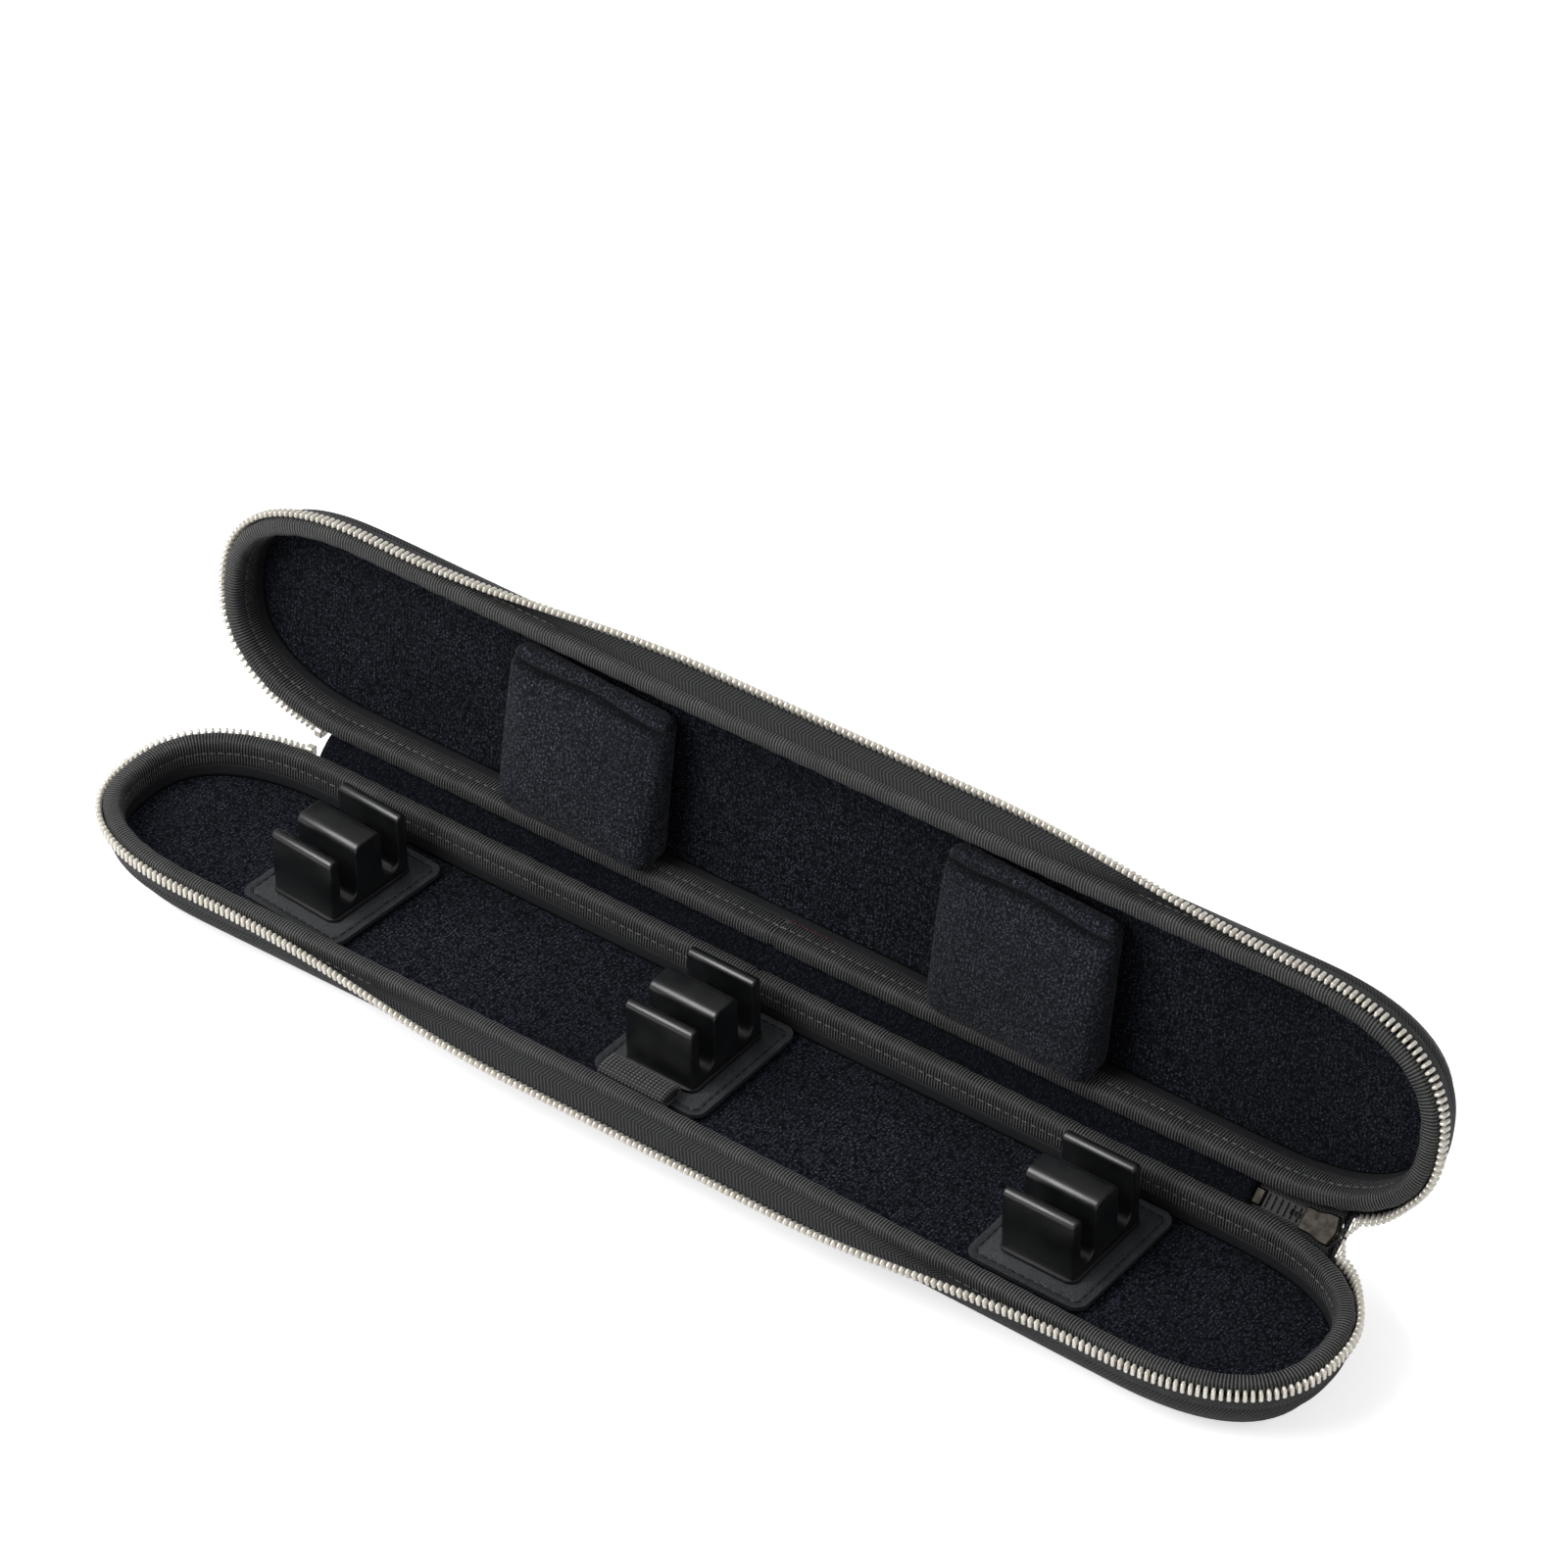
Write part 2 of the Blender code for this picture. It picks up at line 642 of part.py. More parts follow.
spine_span = SPINE_WIDTH - 2 * SPINE_EDGE_GAP
spine_length = SPINE_LEFT_END + SPINE_RIGHT_END
spine_middle = (SPINE_RIGHT_END - SPINE_LEFT_END) / 2
band = box_mesh((spine_length, spine_span, SPINE_THICK), (spine_middle, SPINE_WIDTH / 2, 0.0))
solid("spine_band", band, spine, LEATHERETTE)
plush_span = spine_span - 2 * PLUSH_MARGIN
plush_height = SPINE_THICK / 2 + FIT + PLUSH_THICK / 2
plush = box_mesh(
    (spine_length - 2 * PLUSH_MARGIN, plush_span, PLUSH_THICK),
    (spine_middle, SPINE_WIDTH / 2, plush_height),
)
bevelled(solid("spine_plush", plush, spine, PLUSH), PLUSH_MARGIN, 2)

stop_left = SPINE_RIGHT_END + FIT
stop = box_mesh(
    (STUB_STOP_LONG, spine_span, STUB_STOP_THICK),
    (stop_left + STUB_STOP_LONG / 2, SPINE_WIDTH / 2, 0.0),
)
bevelled(solid("bottom_stop", stop, spine, NICKEL), SLIDER_ROUND, 1)

stub_left = stop_left + STUB_STOP_LONG + FIT
stub_length = STUB_RIGHT_END - stub_left
stub = solid(
    "zip_stub",
    box_mesh(
        (stub_length, spine_span, STUB_TAPE_THICK),
        (stub_left + stub_length / 2, SPINE_WIDTH / 2, 0.0),
    ),
    spine,
    TWILL,
)
stub_tooth_long = TOOTH_PITCH / 2 * TOOTH_SHARE
stub_teeth = solid(
    "stub_teeth",
    box_mesh(
        (stub_tooth_long, STUB_CHAIN_WIDTH, STUB_CHAIN_THICK),
        (stub_left + stub_tooth_long, SPINE_WIDTH / 2, 0.0),
    ),
    spine,
    NICKEL,
    cutters,
)
row = stub_teeth.modifiers.new("row", "ARRAY")
row.use_relative_offset = False
row.use_constant_offset = True
row.constant_offset_displace = (TOOTH_PITCH, 0.0, 0.0)
row.count = int(stub_length / TOOTH_PITCH)
row.use_merge_vertices = False
combined(stub, stub_teeth, "UNION")

# The chain parts round the slider's post as far as the slider can travel
slit_left = stop_left + STUB_STOP_LONG + SLIDER_LENGTH - SLIDER_POST_LONG - FIT
slit_length = STUB_RIGHT_END - slit_left + OVERRUN
slit = box_mesh(
    (slit_length, SLIDER_POST_WIDE + 2 * FIT, STUB_CHAIN_THICK + OVERRUN),
    (slit_left + slit_length / 2, SPINE_WIDTH / 2, 0.0),
)
combined(stub, solid("stub_slit", slit, spine, TWILL, cutters), "DIFFERENCE")

# Slider on the stub, in a frame at its tail, and its pull tab on the bail

slider = frame("slider", spine, (SLIDER_LEFT_END, SPINE_WIDTH / 2, 0.0))
tail, mouth = SLIDER_TAIL_WIDTH / 2, SLIDER_MOUTH_WIDTH / 2
slope_start, slope_end = SLIDER_LENGTH / 3, SLIDER_LENGTH * 2 / 3
plan = [
    (0.0, -tail),
    (slope_start, -tail),
    (slope_end, -mouth),
    (SLIDER_LENGTH - SLIDER_POST_LONG / 2, -mouth),
    (SLIDER_LENGTH, -SLIDER_POST_WIDE / 2),
]
plan += [(x, -y) for x, y in plan[::-1]]
bm = bmesh.new()
face = bm.faces.new([bm.verts.new((x, y, -SLIDER_THICK / 2)) for x, y in plan])
grown = bmesh.ops.extrude_face_region(bm, geom=[face])
moved = [v for v in grown["geom"] if isinstance(v, bmesh.types.BMVert)]
bmesh.ops.translate(bm, verts=moved, vec=(0.0, 0.0, SLIDER_THICK))
body = bevelled(solid("zip_slider", bm, slider, NICKEL), SLIDER_ROUND, 2)

post_left = SLIDER_LENGTH - SLIDER_POST_LONG
channel_size = (post_left + OVERRUN, SLIDER_MOUTH_WIDTH + OVERRUN, SLIDER_CHANNEL_THICK)
channel = box_mesh(channel_size, ((post_left - OVERRUN) / 2, 0.0, 0.0))
combined(body, solid("slider_channel", channel, slider, NICKEL, cutters), "DIFFERENCE")
for name, way in (("slider_mouth_low", -1), ("slider_mouth_high", 1)):
    cut_width = SLIDER_MOUTH_WIDTH / 2
    size = (SLIDER_POST_LONG + 2 * OVERRUN, cut_width, SLIDER_CHANNEL_THICK)
    centre = (SLIDER_LENGTH, way * (SLIDER_POST_WIDE + cut_width) / 2, 0.0)
    mouth_cut = solid(name, box_mesh(size, centre), slider, NICKEL, cutters)
    combined(body, mouth_cut, "DIFFERENCE")

bail_half = BAIL_LONG / 2
bail_base = -(SLIDER_THICK - BAIL_WIRE) / 2
bail_rise = TAB_THICK + 2 * FIT + BAIL_WIRE + BAIL_WIRE / 2
bail_points = arc(SLIDER_LENGTH / 2, 0.0, bail_half, math.pi, -math.pi, TAB_ROUND_STEPS + 1)
bail_path = [(x, 0.0, bail_base - min(y, bail_rise)) for x, y in bail_points]
bail_curve = bpy.data.curves.new("bail", "CURVE")
bail_curve.dimensions = "3D"
bail_curve.bevel_depth = BAIL_WIRE
bail_curve.bevel_resolution = 1
bail_curve.use_fill_caps = True
bail_spline = bail_curve.splines.new("POLY")
bail_spline.points.add(len(bail_path) - 1)
for spline_point, spot in zip(bail_spline.points, bail_path):
    spline_point.co = (*spot, 1.0)
bail_guide = place("bail_guide", bail_curve, slider, NICKEL, cutters)
bail_guide.hide_render = True
bail_guide.display_type = "WIRE"
bpy.context.view_layer.update()
bail_mesh = bpy.data.meshes.new_from_object(bail_guide.evaluated_get(bpy.context.evaluated_depsgraph_get()))
bpy.data.objects.remove(bail_guide)
bm = bmesh.new()
bm.from_mesh(bail_mesh)
bmesh.ops.remove_doubles(bm, verts=bm.verts, dist=MERGE)
combined(body, solid("slider_bail", bm, slider, NICKEL, cutters), "UNION")

# The tab's end bar turns inside the bail, which passes through the tab's long eye

pivot_height = -(SLIDER_THICK / 2 + FIT + TAB_THICK / 2)
tab = frame("pull_tab_pivot", slider, (SLIDER_LENGTH / 2, 0.0, pivot_height), (0.0, math.pi / 2, 0.0))
bar = TAB_THICK / 2
outline = [(-bar, TAB_NECK_WIDTH / 2), (-bar, -TAB_NECK_WIDTH / 2)]
grip = TAB_LENGTH - TAB_WIDTH / 2
outline += arc(grip, 0.0, TAB_WIDTH / 2, -math.pi / 2, math.pi, TAB_ROUND_STEPS + 1)
eye = [(x + bar + TAB_EYE_LONG / 2, y) for y, x in rounded_rectangle(TAB_EYE_WIDTH, TAB_EYE_LONG, bar)]
grip_hole = arc(grip, 0.0, TAB_GRIP_ROUND, 0.0, 2 * math.pi, 2 * TAB_ROUND_STEPS)[:-1]
flat_curve("pull_tab", [outline, eye, grip_hole], TAB_THICK, tab, NICKEL)

# Holders: hook backing, leather patch and slotted rubber block


def holder_block(name, parent, height):
    """A block with two deep round-bottomed slots across it, on a thin moulded foot."""
    half = BLOCK_LENGTH / 2
    inner = half - FIN_THICK - SLOT_WIDTH
    radius = SLOT_WIDTH / 2
    well = SLOT_FLOOR + radius
    profile = [(-half, 0.0), (half, 0.0), (half, BLOCK_TALL), (half - FIN_THICK, BLOCK_TALL)]
    profile += arc(inner + radius, well, radius, 0.0, -math.pi, SLOT_STEPS)
    profile += [(inner, BLOCK_TALL), (-inner, BLOCK_TALL)]
    profile += arc(-inner - radius, well, radius, 0.0, -math.pi, SLOT_STEPS)
    profile += [(-half + FIN_THICK, BLOCK_TALL), (-half, BLOCK_TALL)]
    bm = bmesh.new()
    verts = [bm.verts.new((-BLOCK_WIDTH / 2, y, height + z)) for y, z in profile]
    grown = bmesh.ops.extrude_face_region(bm, geom=[bm.faces.new(verts)])
    moved = [v for v in grown["geom"] if isinstance(v, bmesh.types.BMVert)]
    bmesh.ops.translate(bm, verts=moved, vec=(BLOCK_WIDTH, 0.0, 0.0))
    obj = bevelled(solid(name, bm, parent, RUBBER), BLOCK_ROUND, 1)
    foot_size = (BLOCK_WIDTH + 2 * FOOT_MARGIN, BLOCK_LENGTH + 2 * FOOT_MARGIN)
    foot = flat_curve(name + "_foot", [rounded_rectangle(*foot_size, FOOT_ROUND)], FOOT_THICK, None, RUBBER)
    bpy.context.view_layer.update()
    mesh = bpy.data.meshes.new_from_object(foot.evaluated_get(bpy.context.evaluated_depsgraph_get()))
    bpy.data.objects.remove(foot)
    bm = bmesh.new()
    bm.from_mesh(mesh)
    bmesh.ops.remove_doubles(bm, verts=bm.verts, dist=MERGE)
    bmesh.ops.translate(bm, verts=bm.verts, vec=(0.0, 0.0, height + FOOT_THICK / 2))
    return combined(obj, solid(name + "_foot", bm, parent, RUBBER, cutters), "UNION")


def plate(name, plan, bottom, thick, parent, finish):
    """A flat plate of this width, length and corner radius, its underside at this height."""
    obj = flat_curve(name, [rounded_rectangle(*plan)], thick, parent, finish)
    obj.location = (0.0, 0.0, bottom + thick / 2)
    return obj


holder_names = ("left", "middle", "right")
for name, x_share, y, yaw in zip(holder_names, HOLDER_X_SHARES, HOLDER_YS, HOLDER_YAWS):
    spot = (RIM_LENGTH * x_share, y, -FLOOR_DROP)
    seat = frame(name + "_holder_seat", base, spot, (0.0, 0.0, yaw))
    patch_bottom = FIT + HOOK_THICK + FIT
    block_bottom = patch_bottom + PATCH_THICK + FIT
    hook = (HOOK_WIDTH, HOOK_LENGTH, HOOK_ROUND)
    plate(name + "_holder_hook", hook, FIT, HOOK_THICK, seat, HOOK_TAPE)
    patch = (PATCH_WIDTH, PATCH_LENGTH, PATCH_ROUND)
    plate(name + "_holder_patch", patch, patch_bottom, PATCH_THICK, seat, PATCH_LEATHER)
    holder_block(name + "_holder", seat, block_bottom)
    if name != "middle":
        continue
    outer_radius = LOOP_HIGH / 2
    reach = LOOP_DEEP / 2 - outer_radius
    rings = []
    for radius in (outer_radius, outer_radius - LOOP_WALL):
        front = arc(-reach, 0.0, radius, math.pi / 2, math.pi, LOOP_STEPS)
        rings.append(front + [(-x, -y) for x, y in front])
    loop = flat_curve("elastic_loop", rings, LOOP_LENGTH, seat, ELASTIC)
    loop_y = -(BLOCK_LENGTH / 2 + FOOT_MARGIN + LOOP_FIN_GAP + LOOP_DEEP / 2)
    loop.location = (-LOOP_SHIFT, loop_y, block_bottom + LOOP_HIGH / 2)
    loop.rotation_euler = (math.pi / 2, 0.0, math.pi / 2)

# Lid pads: hook backing and a soft cushion with a crown, drawn-in sides and a sewn seam


def cushion(name, parent, bottom, thick):
    """A padded block: flat underneath, crowned on top, with sides drawn in and a seam channel."""
    bm = bmesh.new()
    bmesh.ops.create_cube(bm, size=2.0)
    for axis, cuts in enumerate(PAD_CUTS):
        edges = [e for e in bm.edges if abs(e.verts[0].co[axis] - e.verts[1].co[axis]) > 1]
        bmesh.ops.subdivide_edges(bm, edges=edges, cuts=cuts, use_grid_fill=True)
    half_x, half_y, half_z = PAD_WIDTH / 2, PAD_LENGTH / 2, thick / 2
    for vert in bm.verts:
        u, v, w = vert.co
        # Spread the cage towards its edges and round its corners there
        u, v, w = (math.copysign(1 - (1 - abs(c)) ** PAD_CAGE_POWER, c) for c in (u, v, w))
        upper = (1 + w) / 2
        edge_x = 1 - PAD_EDGE_ROUND / half_x * max(w, 0.0) ** 6
        edge_y = 1 - PAD_EDGE_ROUND / half_y * max(w, 0.0) ** 6
        draw_x = PAD_DRAW_IN * (1 - v * v) * (1 - w * w)
        draw_y = PAD_DRAW_IN * (1 - u * u) * (1 - w * w)
        x = u * (half_x * edge_x - draw_x)
        y = v * (half_y * edge_y - draw_y)
        dome = (1 - abs(u) ** 3) * (1 - abs(v) ** 3)
        z = w * half_z - PAD_CROWN * upper**4 * (1 - dome)
        seam = abs(y - (half_y - PAD_SEAM_DROP)) / PAD_SEAM_HALF
        if seam < 1 and w > 0:
            z -= PAD_SEAM_DEEP * (1 - seam * seam) * upper
        vert.co = (x, y, bottom + half_z + z)
    return solid(name, bm, parent, VELOUR)


pad_bottom = FIT + HOOK_THICK + FIT
pad_thick = FLOOR_DROP + PAD_PROUD - pad_bottom
pad_y = -HALF_WIDTH + PAD_RIM_DISTANCE + PAD_LENGTH / 2
for name, x_share in zip(("left", "right"), PAD_X_SHARES):
    seat = frame(name + "_pad_seat", lid, (RIM_LENGTH * x_share, pad_y, -FLOOR_DROP))
    hook = (PAD_HOOK_WIDTH, PAD_HOOK_WIDTH, HOOK_ROUND)
    plate(name + "_pad_hook", hook, FIT, HOOK_THICK, seat, HOOK_TAPE)
    cushion(name + "_pad", seat, pad_bottom, pad_thick)
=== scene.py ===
"""Baton case: the dressed model. A long zip-edged shell case, open on a table with its lid leaning back.

Metres, +Z up. X runs along the case, +Y towards the hinge, and the table is at height zero.
"""

import math

import bpy
import numpy as np
from mathutils import Matrix, Vector


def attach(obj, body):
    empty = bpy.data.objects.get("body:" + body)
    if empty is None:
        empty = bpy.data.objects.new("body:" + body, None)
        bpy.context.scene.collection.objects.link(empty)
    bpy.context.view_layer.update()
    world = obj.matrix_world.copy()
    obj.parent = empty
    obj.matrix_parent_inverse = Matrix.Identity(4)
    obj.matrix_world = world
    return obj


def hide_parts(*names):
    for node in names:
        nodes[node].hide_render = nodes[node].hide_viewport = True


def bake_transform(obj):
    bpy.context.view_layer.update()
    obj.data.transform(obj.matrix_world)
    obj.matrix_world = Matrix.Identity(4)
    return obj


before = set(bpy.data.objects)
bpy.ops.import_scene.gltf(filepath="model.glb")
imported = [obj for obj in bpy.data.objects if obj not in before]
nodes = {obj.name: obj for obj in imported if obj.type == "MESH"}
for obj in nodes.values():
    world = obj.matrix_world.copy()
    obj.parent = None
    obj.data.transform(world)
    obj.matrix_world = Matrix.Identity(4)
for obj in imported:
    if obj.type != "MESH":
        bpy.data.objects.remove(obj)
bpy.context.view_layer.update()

# Table and light
# The case lies on a pale table that runs into a pale studio. A big soft lamp hangs in front and to the left,
# two weaker ones hang behind the lid and at the right, and the room is evenly bright.

ROOM_LIGHT = 0.28
TABLE_LIFT = 0.62
WHITE = (1.0, 1.0, 1.0, 1.0)


def add_node(tree, kind, feeds=None, **settings):
    """One shader node of this kind. Each feed is a value, or the socket that drives the input."""
    made = tree.nodes.new("ShaderNode" + kind)
    for name, value in settings.items():
        setattr(made, name, value)
    for name, value in (feeds or {}).items():
        if isinstance(value, bpy.types.NodeSocket):
            tree.links.new(value, made.inputs[name])
        else:
            made.inputs[name].default_value = value
    return made


def new_finish(name, **settings):
    """A material with these plain values on its own shader. It returns the material, its tree and shader."""
    made = bpy.data.materials.new(name)
    made.use_nodes = True
    shader = made.node_tree.nodes["Principled BSDF"]
    for socket, value in settings.items():
        shader.inputs[socket.replace("_", " ").title().replace("Ior", "IOR")].default_value = value
    return made, made.node_tree, shader


def calculated(tree, operation, *values):
    """The result of a math node on these values or sockets."""
    return add_node(tree, "Math", dict(enumerate(values)), operation=operation).outputs[0]


def ranged(tree, value, low, high, to_low=0.0, to_high=1.0):
    """A value spread from one range to another, and kept inside it."""
    feeds = {"Value": value, "From Min": low, "From Max": high, "To Min": to_low, "To Max": to_high}
    return add_node(tree, "MapRange", feeds).outputs["Result"]


def pick(piece=None):
    """Only this piece is selected and active, or nothing is selected."""
    bpy.ops.object.select_all(action="DESELECT")
    if piece:
        piece.select_set(True)
        bpy.context.view_layer.objects.active = piece


def settled(name):
    """The object just added, with its name, at the origin, unturned and unscaled."""
    made = bpy.context.object
    made.name = name
    bpy.ops.object.transform_apply()
    return made


pick()
bpy.ops.mesh.primitive_plane_add(size=12.0, location=(0.0, 0.0, -0.0003))
table = settled("table")
table_white, tree, shader = new_finish("table_white", roughness=0.6, specular_ior_level=0.1)
shader.inputs["Emission Color"].default_value = WHITE
shader.inputs["Base Color"].default_value = (0.86, 0.86, 0.86, 1.0)
seen = add_node(tree, "LightPath").outputs
lift = calculated(tree, "MULTIPLY", seen["Is Camera Ray"], TABLE_LIFT)
tree.links.new(lift, shader.inputs["Emission Strength"])
table.data.materials.append(table_white)

studio = bpy.data.worlds.new("studio")
bpy.context.scene.world = studio
studio.use_nodes = True
tree = studio.node_tree
back = tree.nodes["Background"]
seen = add_node(tree, "LightPath").outputs
straight = calculated(tree, "MAXIMUM", seen["Is Camera Ray"], seen["Is Transmission Ray"])
tree.links.new(ranged(tree, straight, 0.0, 1.0, ROOM_LIGHT, 1.0), back.inputs["Strength"])
back.inputs["Color"].default_value = WHITE

for name, spot, aim, wide, high, watts in (
    ("front_lamp", (-0.62, -0.85, 1.15), (0.0, 0.0, 0.03), 1.15, 0.90, 19.0),
    ("top_lamp", (-0.55, 0.55, 1.25), (0.0, 0.03, 0.05), 0.8, 0.6, 7.0),
    ("right_lamp", (1.25, 0.15, 0.9), (0.1, 0.0, 0.03), 0.7, 0.7, 4.0),
):
    lamp_data = bpy.data.lights.new(name, "AREA")
    lamp_data.shape = "RECTANGLE"
    lamp_data.size = wide
    lamp_data.size_y = high
    lamp_data.energy = watts
    lamp = bpy.data.objects.new(name, lamp_data)
    lamp.visible_glossy = name == "front_lamp"
    bpy.context.scene.collection.objects.link(lamp)
    lamp.location = spot
    lamp.rotation_euler = (Vector(aim) - Vector(spot)).to_track_quat("-Z", "Y").to_euler()

# Camera
# It stands where the photograph was taken from: high in front of the right end, far away with a long lens.

CAMERA_AIM = Vector((-0.02998, 0.08412, 0.056))
CAMERA_AWAY = 1.88051

camera_data = bpy.data.cameras.new("photo_camera")
camera_data.sensor_width = 36.0
camera_data.lens = 138.33
camera_data.clip_end = 20.0
camera = bpy.data.objects.new("photo_camera", camera_data)
bpy.context.scene.collection.objects.link(camera)
# Round to the right, then up from level, then a slight roll, and back along the view
camera.matrix_world = (
    Matrix.Translation(CAMERA_AIM)
    @ Matrix.Rotation(math.radians(37.27), 4, "Z")
    @ Matrix.Rotation(math.radians(90.0 - 38.79), 4, "X")
    @ Matrix.Rotation(math.radians(-0.57), 4, "Z")
    @ Matrix.Translation((0.0, 0.0, CAMERA_AWAY))
)
bpy.context.scene.camera = camera
bpy.context.scene.view_settings.view_transform = "Standard"

# Moulded shells, spine flaps and spine band
# Each tray is a moulded board shell covered with black leatherette whose embossed grain shines a little on
# its crests. The same leatherette makes the flaps and the band that the lid folds on, so they share it.


def times(tree, one, other):
    """The product of two values or sockets."""
    return calculated(tree, "MULTIPLY", one, other)


def mixed(tree, share, low, high):
    """A colour between two colours by a share. The lower one can be a colour socket."""
    if isinstance(low, tuple):
        low = (*low, 1.0)
    return add_node(tree, "Mix", {0: share, 6: low, 7: (*high, 1.0)}, data_type="RGBA").outputs[2]


def noise(tree, scale, detail, place=None):
    """A cloudy value over the piece's own place, or over another vector."""
    if place is None:
        place = add_node(tree, "TexCoord").outputs["Object"]
    feeds = {"Vector": place, "Scale": scale, "Detail": detail}
    return add_node(tree, "TexNoise", feeds).outputs["Fac"]


def new_effect(name, inputs, outputs):
    """An empty node group with these sockets, and the sockets of its inner input and output nodes."""
    group = bpy.data.node_groups.new(name, "ShaderNodeTree")
    for way, titles in (("INPUT", inputs), ("OUTPUT", outputs)):
        for title in titles:
            kind = "NodeSocketVector" if title == "Place" else "NodeSocketFloat"
            group.interface.new_socket(title, in_out=way, socket_type=kind)
    return group, group.nodes.new("NodeGroupInput").outputs, group.nodes.new("NodeGroupOutput").inputs


def effect(tree, group, feeds):
    """A group placed in a material with its own values."""
    return add_node(tree, "Group", feeds, node_tree=group).outputs


def coloured(tree, shader, share, low, high):
    """A mix of two colours is the shader's colour."""
    tree.links.new(mixed(tree, share, low, high), shader.inputs["Base Color"])


def bumped(tree, shader, height, strength, distance):
    """The height drives the shader's normal."""
    made = add_node(tree, "Bump", {"Height": height, "Strength": strength, "Distance": distance})
    tree.links.new(made.outputs["Normal"], shader.inputs["Normal"])


# Embossed grain: pebbles a little under a millimetre wide, of uneven size, with fine creases between them
tree, given, put = new_effect("leather_grain", ("Place", "Pebbles"), ("Height", "CreaseShade", "Patches"))
leather_grain = tree
wander = noise(tree, 260.0, 2.0, given["Place"]).node.outputs["Color"]
shift = add_node(tree, "VectorMath", {0: wander, "Scale": 0.0009}, operation="SCALE").outputs[0]
warped = add_node(tree, "VectorMath", {0: given["Place"], 1: shift}, operation="ADD").outputs[0]
pebbles = {"Vector": warped, "Scale": given["Pebbles"]}
cells = add_node(tree, "TexVoronoi", pebbles, feature="DISTANCE_TO_EDGE")
crease = ranged(tree, cells.outputs["Distance"], 0.0, 0.16)
fine = noise(tree, 2600.0, 3.0, given["Place"])
tree.links.new(calculated(tree, "MULTIPLY_ADD", fine, 0.25, crease), put["Height"])
# This output is high on the pebbles and low in the creases: the mask for painted shade in the creases
tree.links.new(crease, put["CreaseShade"])
tree.links.new(noise(tree, 28.0, 3.0, given["Place"]), put["Patches"])


def leather(name, crest, shaded_valley, pebbles, rough, depth):
    """A grained leather or leatherette whose creases are darkened by painted shade, with a slightly uneven
    shine.
    """
    made, tree, shader = new_finish(name, specular_ior_level=0.5)
    place = add_node(tree, "TexCoord").outputs["Object"]
    grain = effect(tree, leather_grain, {"Place": place, "Pebbles": pebbles})
    # Painted shade: the colour falls from the crest colour to the valley colour in the creases, and random
    # patches vary it
    patches_and_crease_shade = times(tree, grain["CreaseShade"], ranged(tree, grain["Patches"], 0.3, 0.7, 0.75, 1.0))
    coloured(tree, shader, patches_and_crease_shade, shaded_valley, crest)
    shine = ranged(tree, grain["Patches"], 0.3, 0.7, rough - 0.06, rough + 0.08)
    tree.links.new(shine, shader.inputs["Roughness"])
    bumped(tree, shader, grain["Height"], 0.8, depth)
    return made


def refinish(finish, *names):
    """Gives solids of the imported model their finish."""
    for name in names:
        for material_slot in nodes[name].material_slots:
            material_slot.material = finish


leatherette = leather("leatherette", (0.010, 0.0105, 0.012), (0.0016, 0.0017, 0.002), 1000.0, 0.46, 0.00018)

RIM_LENGTH = 0.460
HALF_WIDTH = 0.038
FRONT_WAIST = 0.0025
END_REACH = 0.058
END_POWER = 2.4
QUARTER_STEPS = 45
SIDE_STEPS = 120
RIM_STEPS = 260
TRAY_DEPTH = 0.026
WALL_SET_BACK = 0.0012
WALL_TAPER = 0.002
FOLD = math.radians(40.5)
LID_PLACE = (
    Matrix.Translation((0.0, 0.0402, 0.0233))
    @ Matrix.Rotation(FOLD, 4, "X")
    @ Matrix.Translation((0.0, 0.006, 0.0))
    @ Matrix.Rotation(FOLD, 4, "X")
    @ Matrix.Translation((0.0, 0.0402, 0.0027))
)
TRAYS = {"base": (1, Matrix.Translation((0.0, 0.0, TRAY_DEPTH))), "lid": (-1, LID_PLACE)}


def distances(rows):
    """How far each row of places lies from the first, by the mean of the steps between them."""
    steps = np.linalg.norm(np.diff(rows, axis=0), axis=2).mean(axis=1)
    return np.concatenate(((0.0,), np.cumsum(steps)))


def rim_table():
    """The rim outline as columns of run, x, y and outward normal, from the middle of the hinge side."""
    quarter = []
    for i in range(QUARTER_STEPS + 1):
        slope = math.pi / 2 * i / QUARTER_STEPS
        angle = math.atan((HALF_WIDTH / END_REACH * math.tan(slope)) ** (1 / (2 - 2 / END_POWER)))
        reach = END_REACH * max(math.cos(angle), 0.0) ** (2 / END_POWER)
        quarter.append((RIM_LENGTH / 2 - END_REACH + reach, HALF_WIDTH * math.sin(angle) ** (2 / END_POWER)))
    straight = RIM_LENGTH / 2 - END_REACH
    side = [(straight - 2 * straight * i / SIDE_STEPS, HALF_WIDTH) for i in range(1, SIDE_STEPS)]
    hinge = quarter + side + [(-x, y) for x, y in quarter[::-1]]
    front = []
    for x, y in hinge[1:-1]:
        front.append((-x, -y + FRONT_WAIST * y / HALF_WIDTH * (1 - (2 * x / RIM_LENGTH) ** 2)))
    loop = np.array(hinge + front)
    along = np.roll(loop, -1, axis=0) - np.roll(loop, 1, axis=0)
    along /= np.linalg.norm(along, axis=1)[:, None]
    columns = np.column_stack((loop, along[:, 1], -along[:, 0]))
    start = int(np.argmin(np.abs(loop[:, 0]) - loop[:, 1]))
    columns = np.vstack((columns[start:], columns[: start + 1]))
    return np.column_stack((distances(columns[:, None, :2]), columns))


RIM = rim_table()
RIM_RUN = RIM[-1, 0]


def rim_at(run):
    """Rim point and outward normal at a length along the rim, as two flat vectors."""
    run = run % RIM_RUN
    x, y, across, along = (np.interp(run, RIM[:, 0], RIM[:, i]) for i in (1, 2, 3, 4))
    return Vector((x, y)), Vector((across, along)).normalized()


def rim_spot(tray, run, out, drop):
    """A place outside the rim by this much and below it by this much, on the base or the lid."""
    side, place = TRAYS[tray]
    point, normal = rim_at(run)
    flat = point + normal * out
    return place @ Vector((flat.x, side * flat.y, -drop))


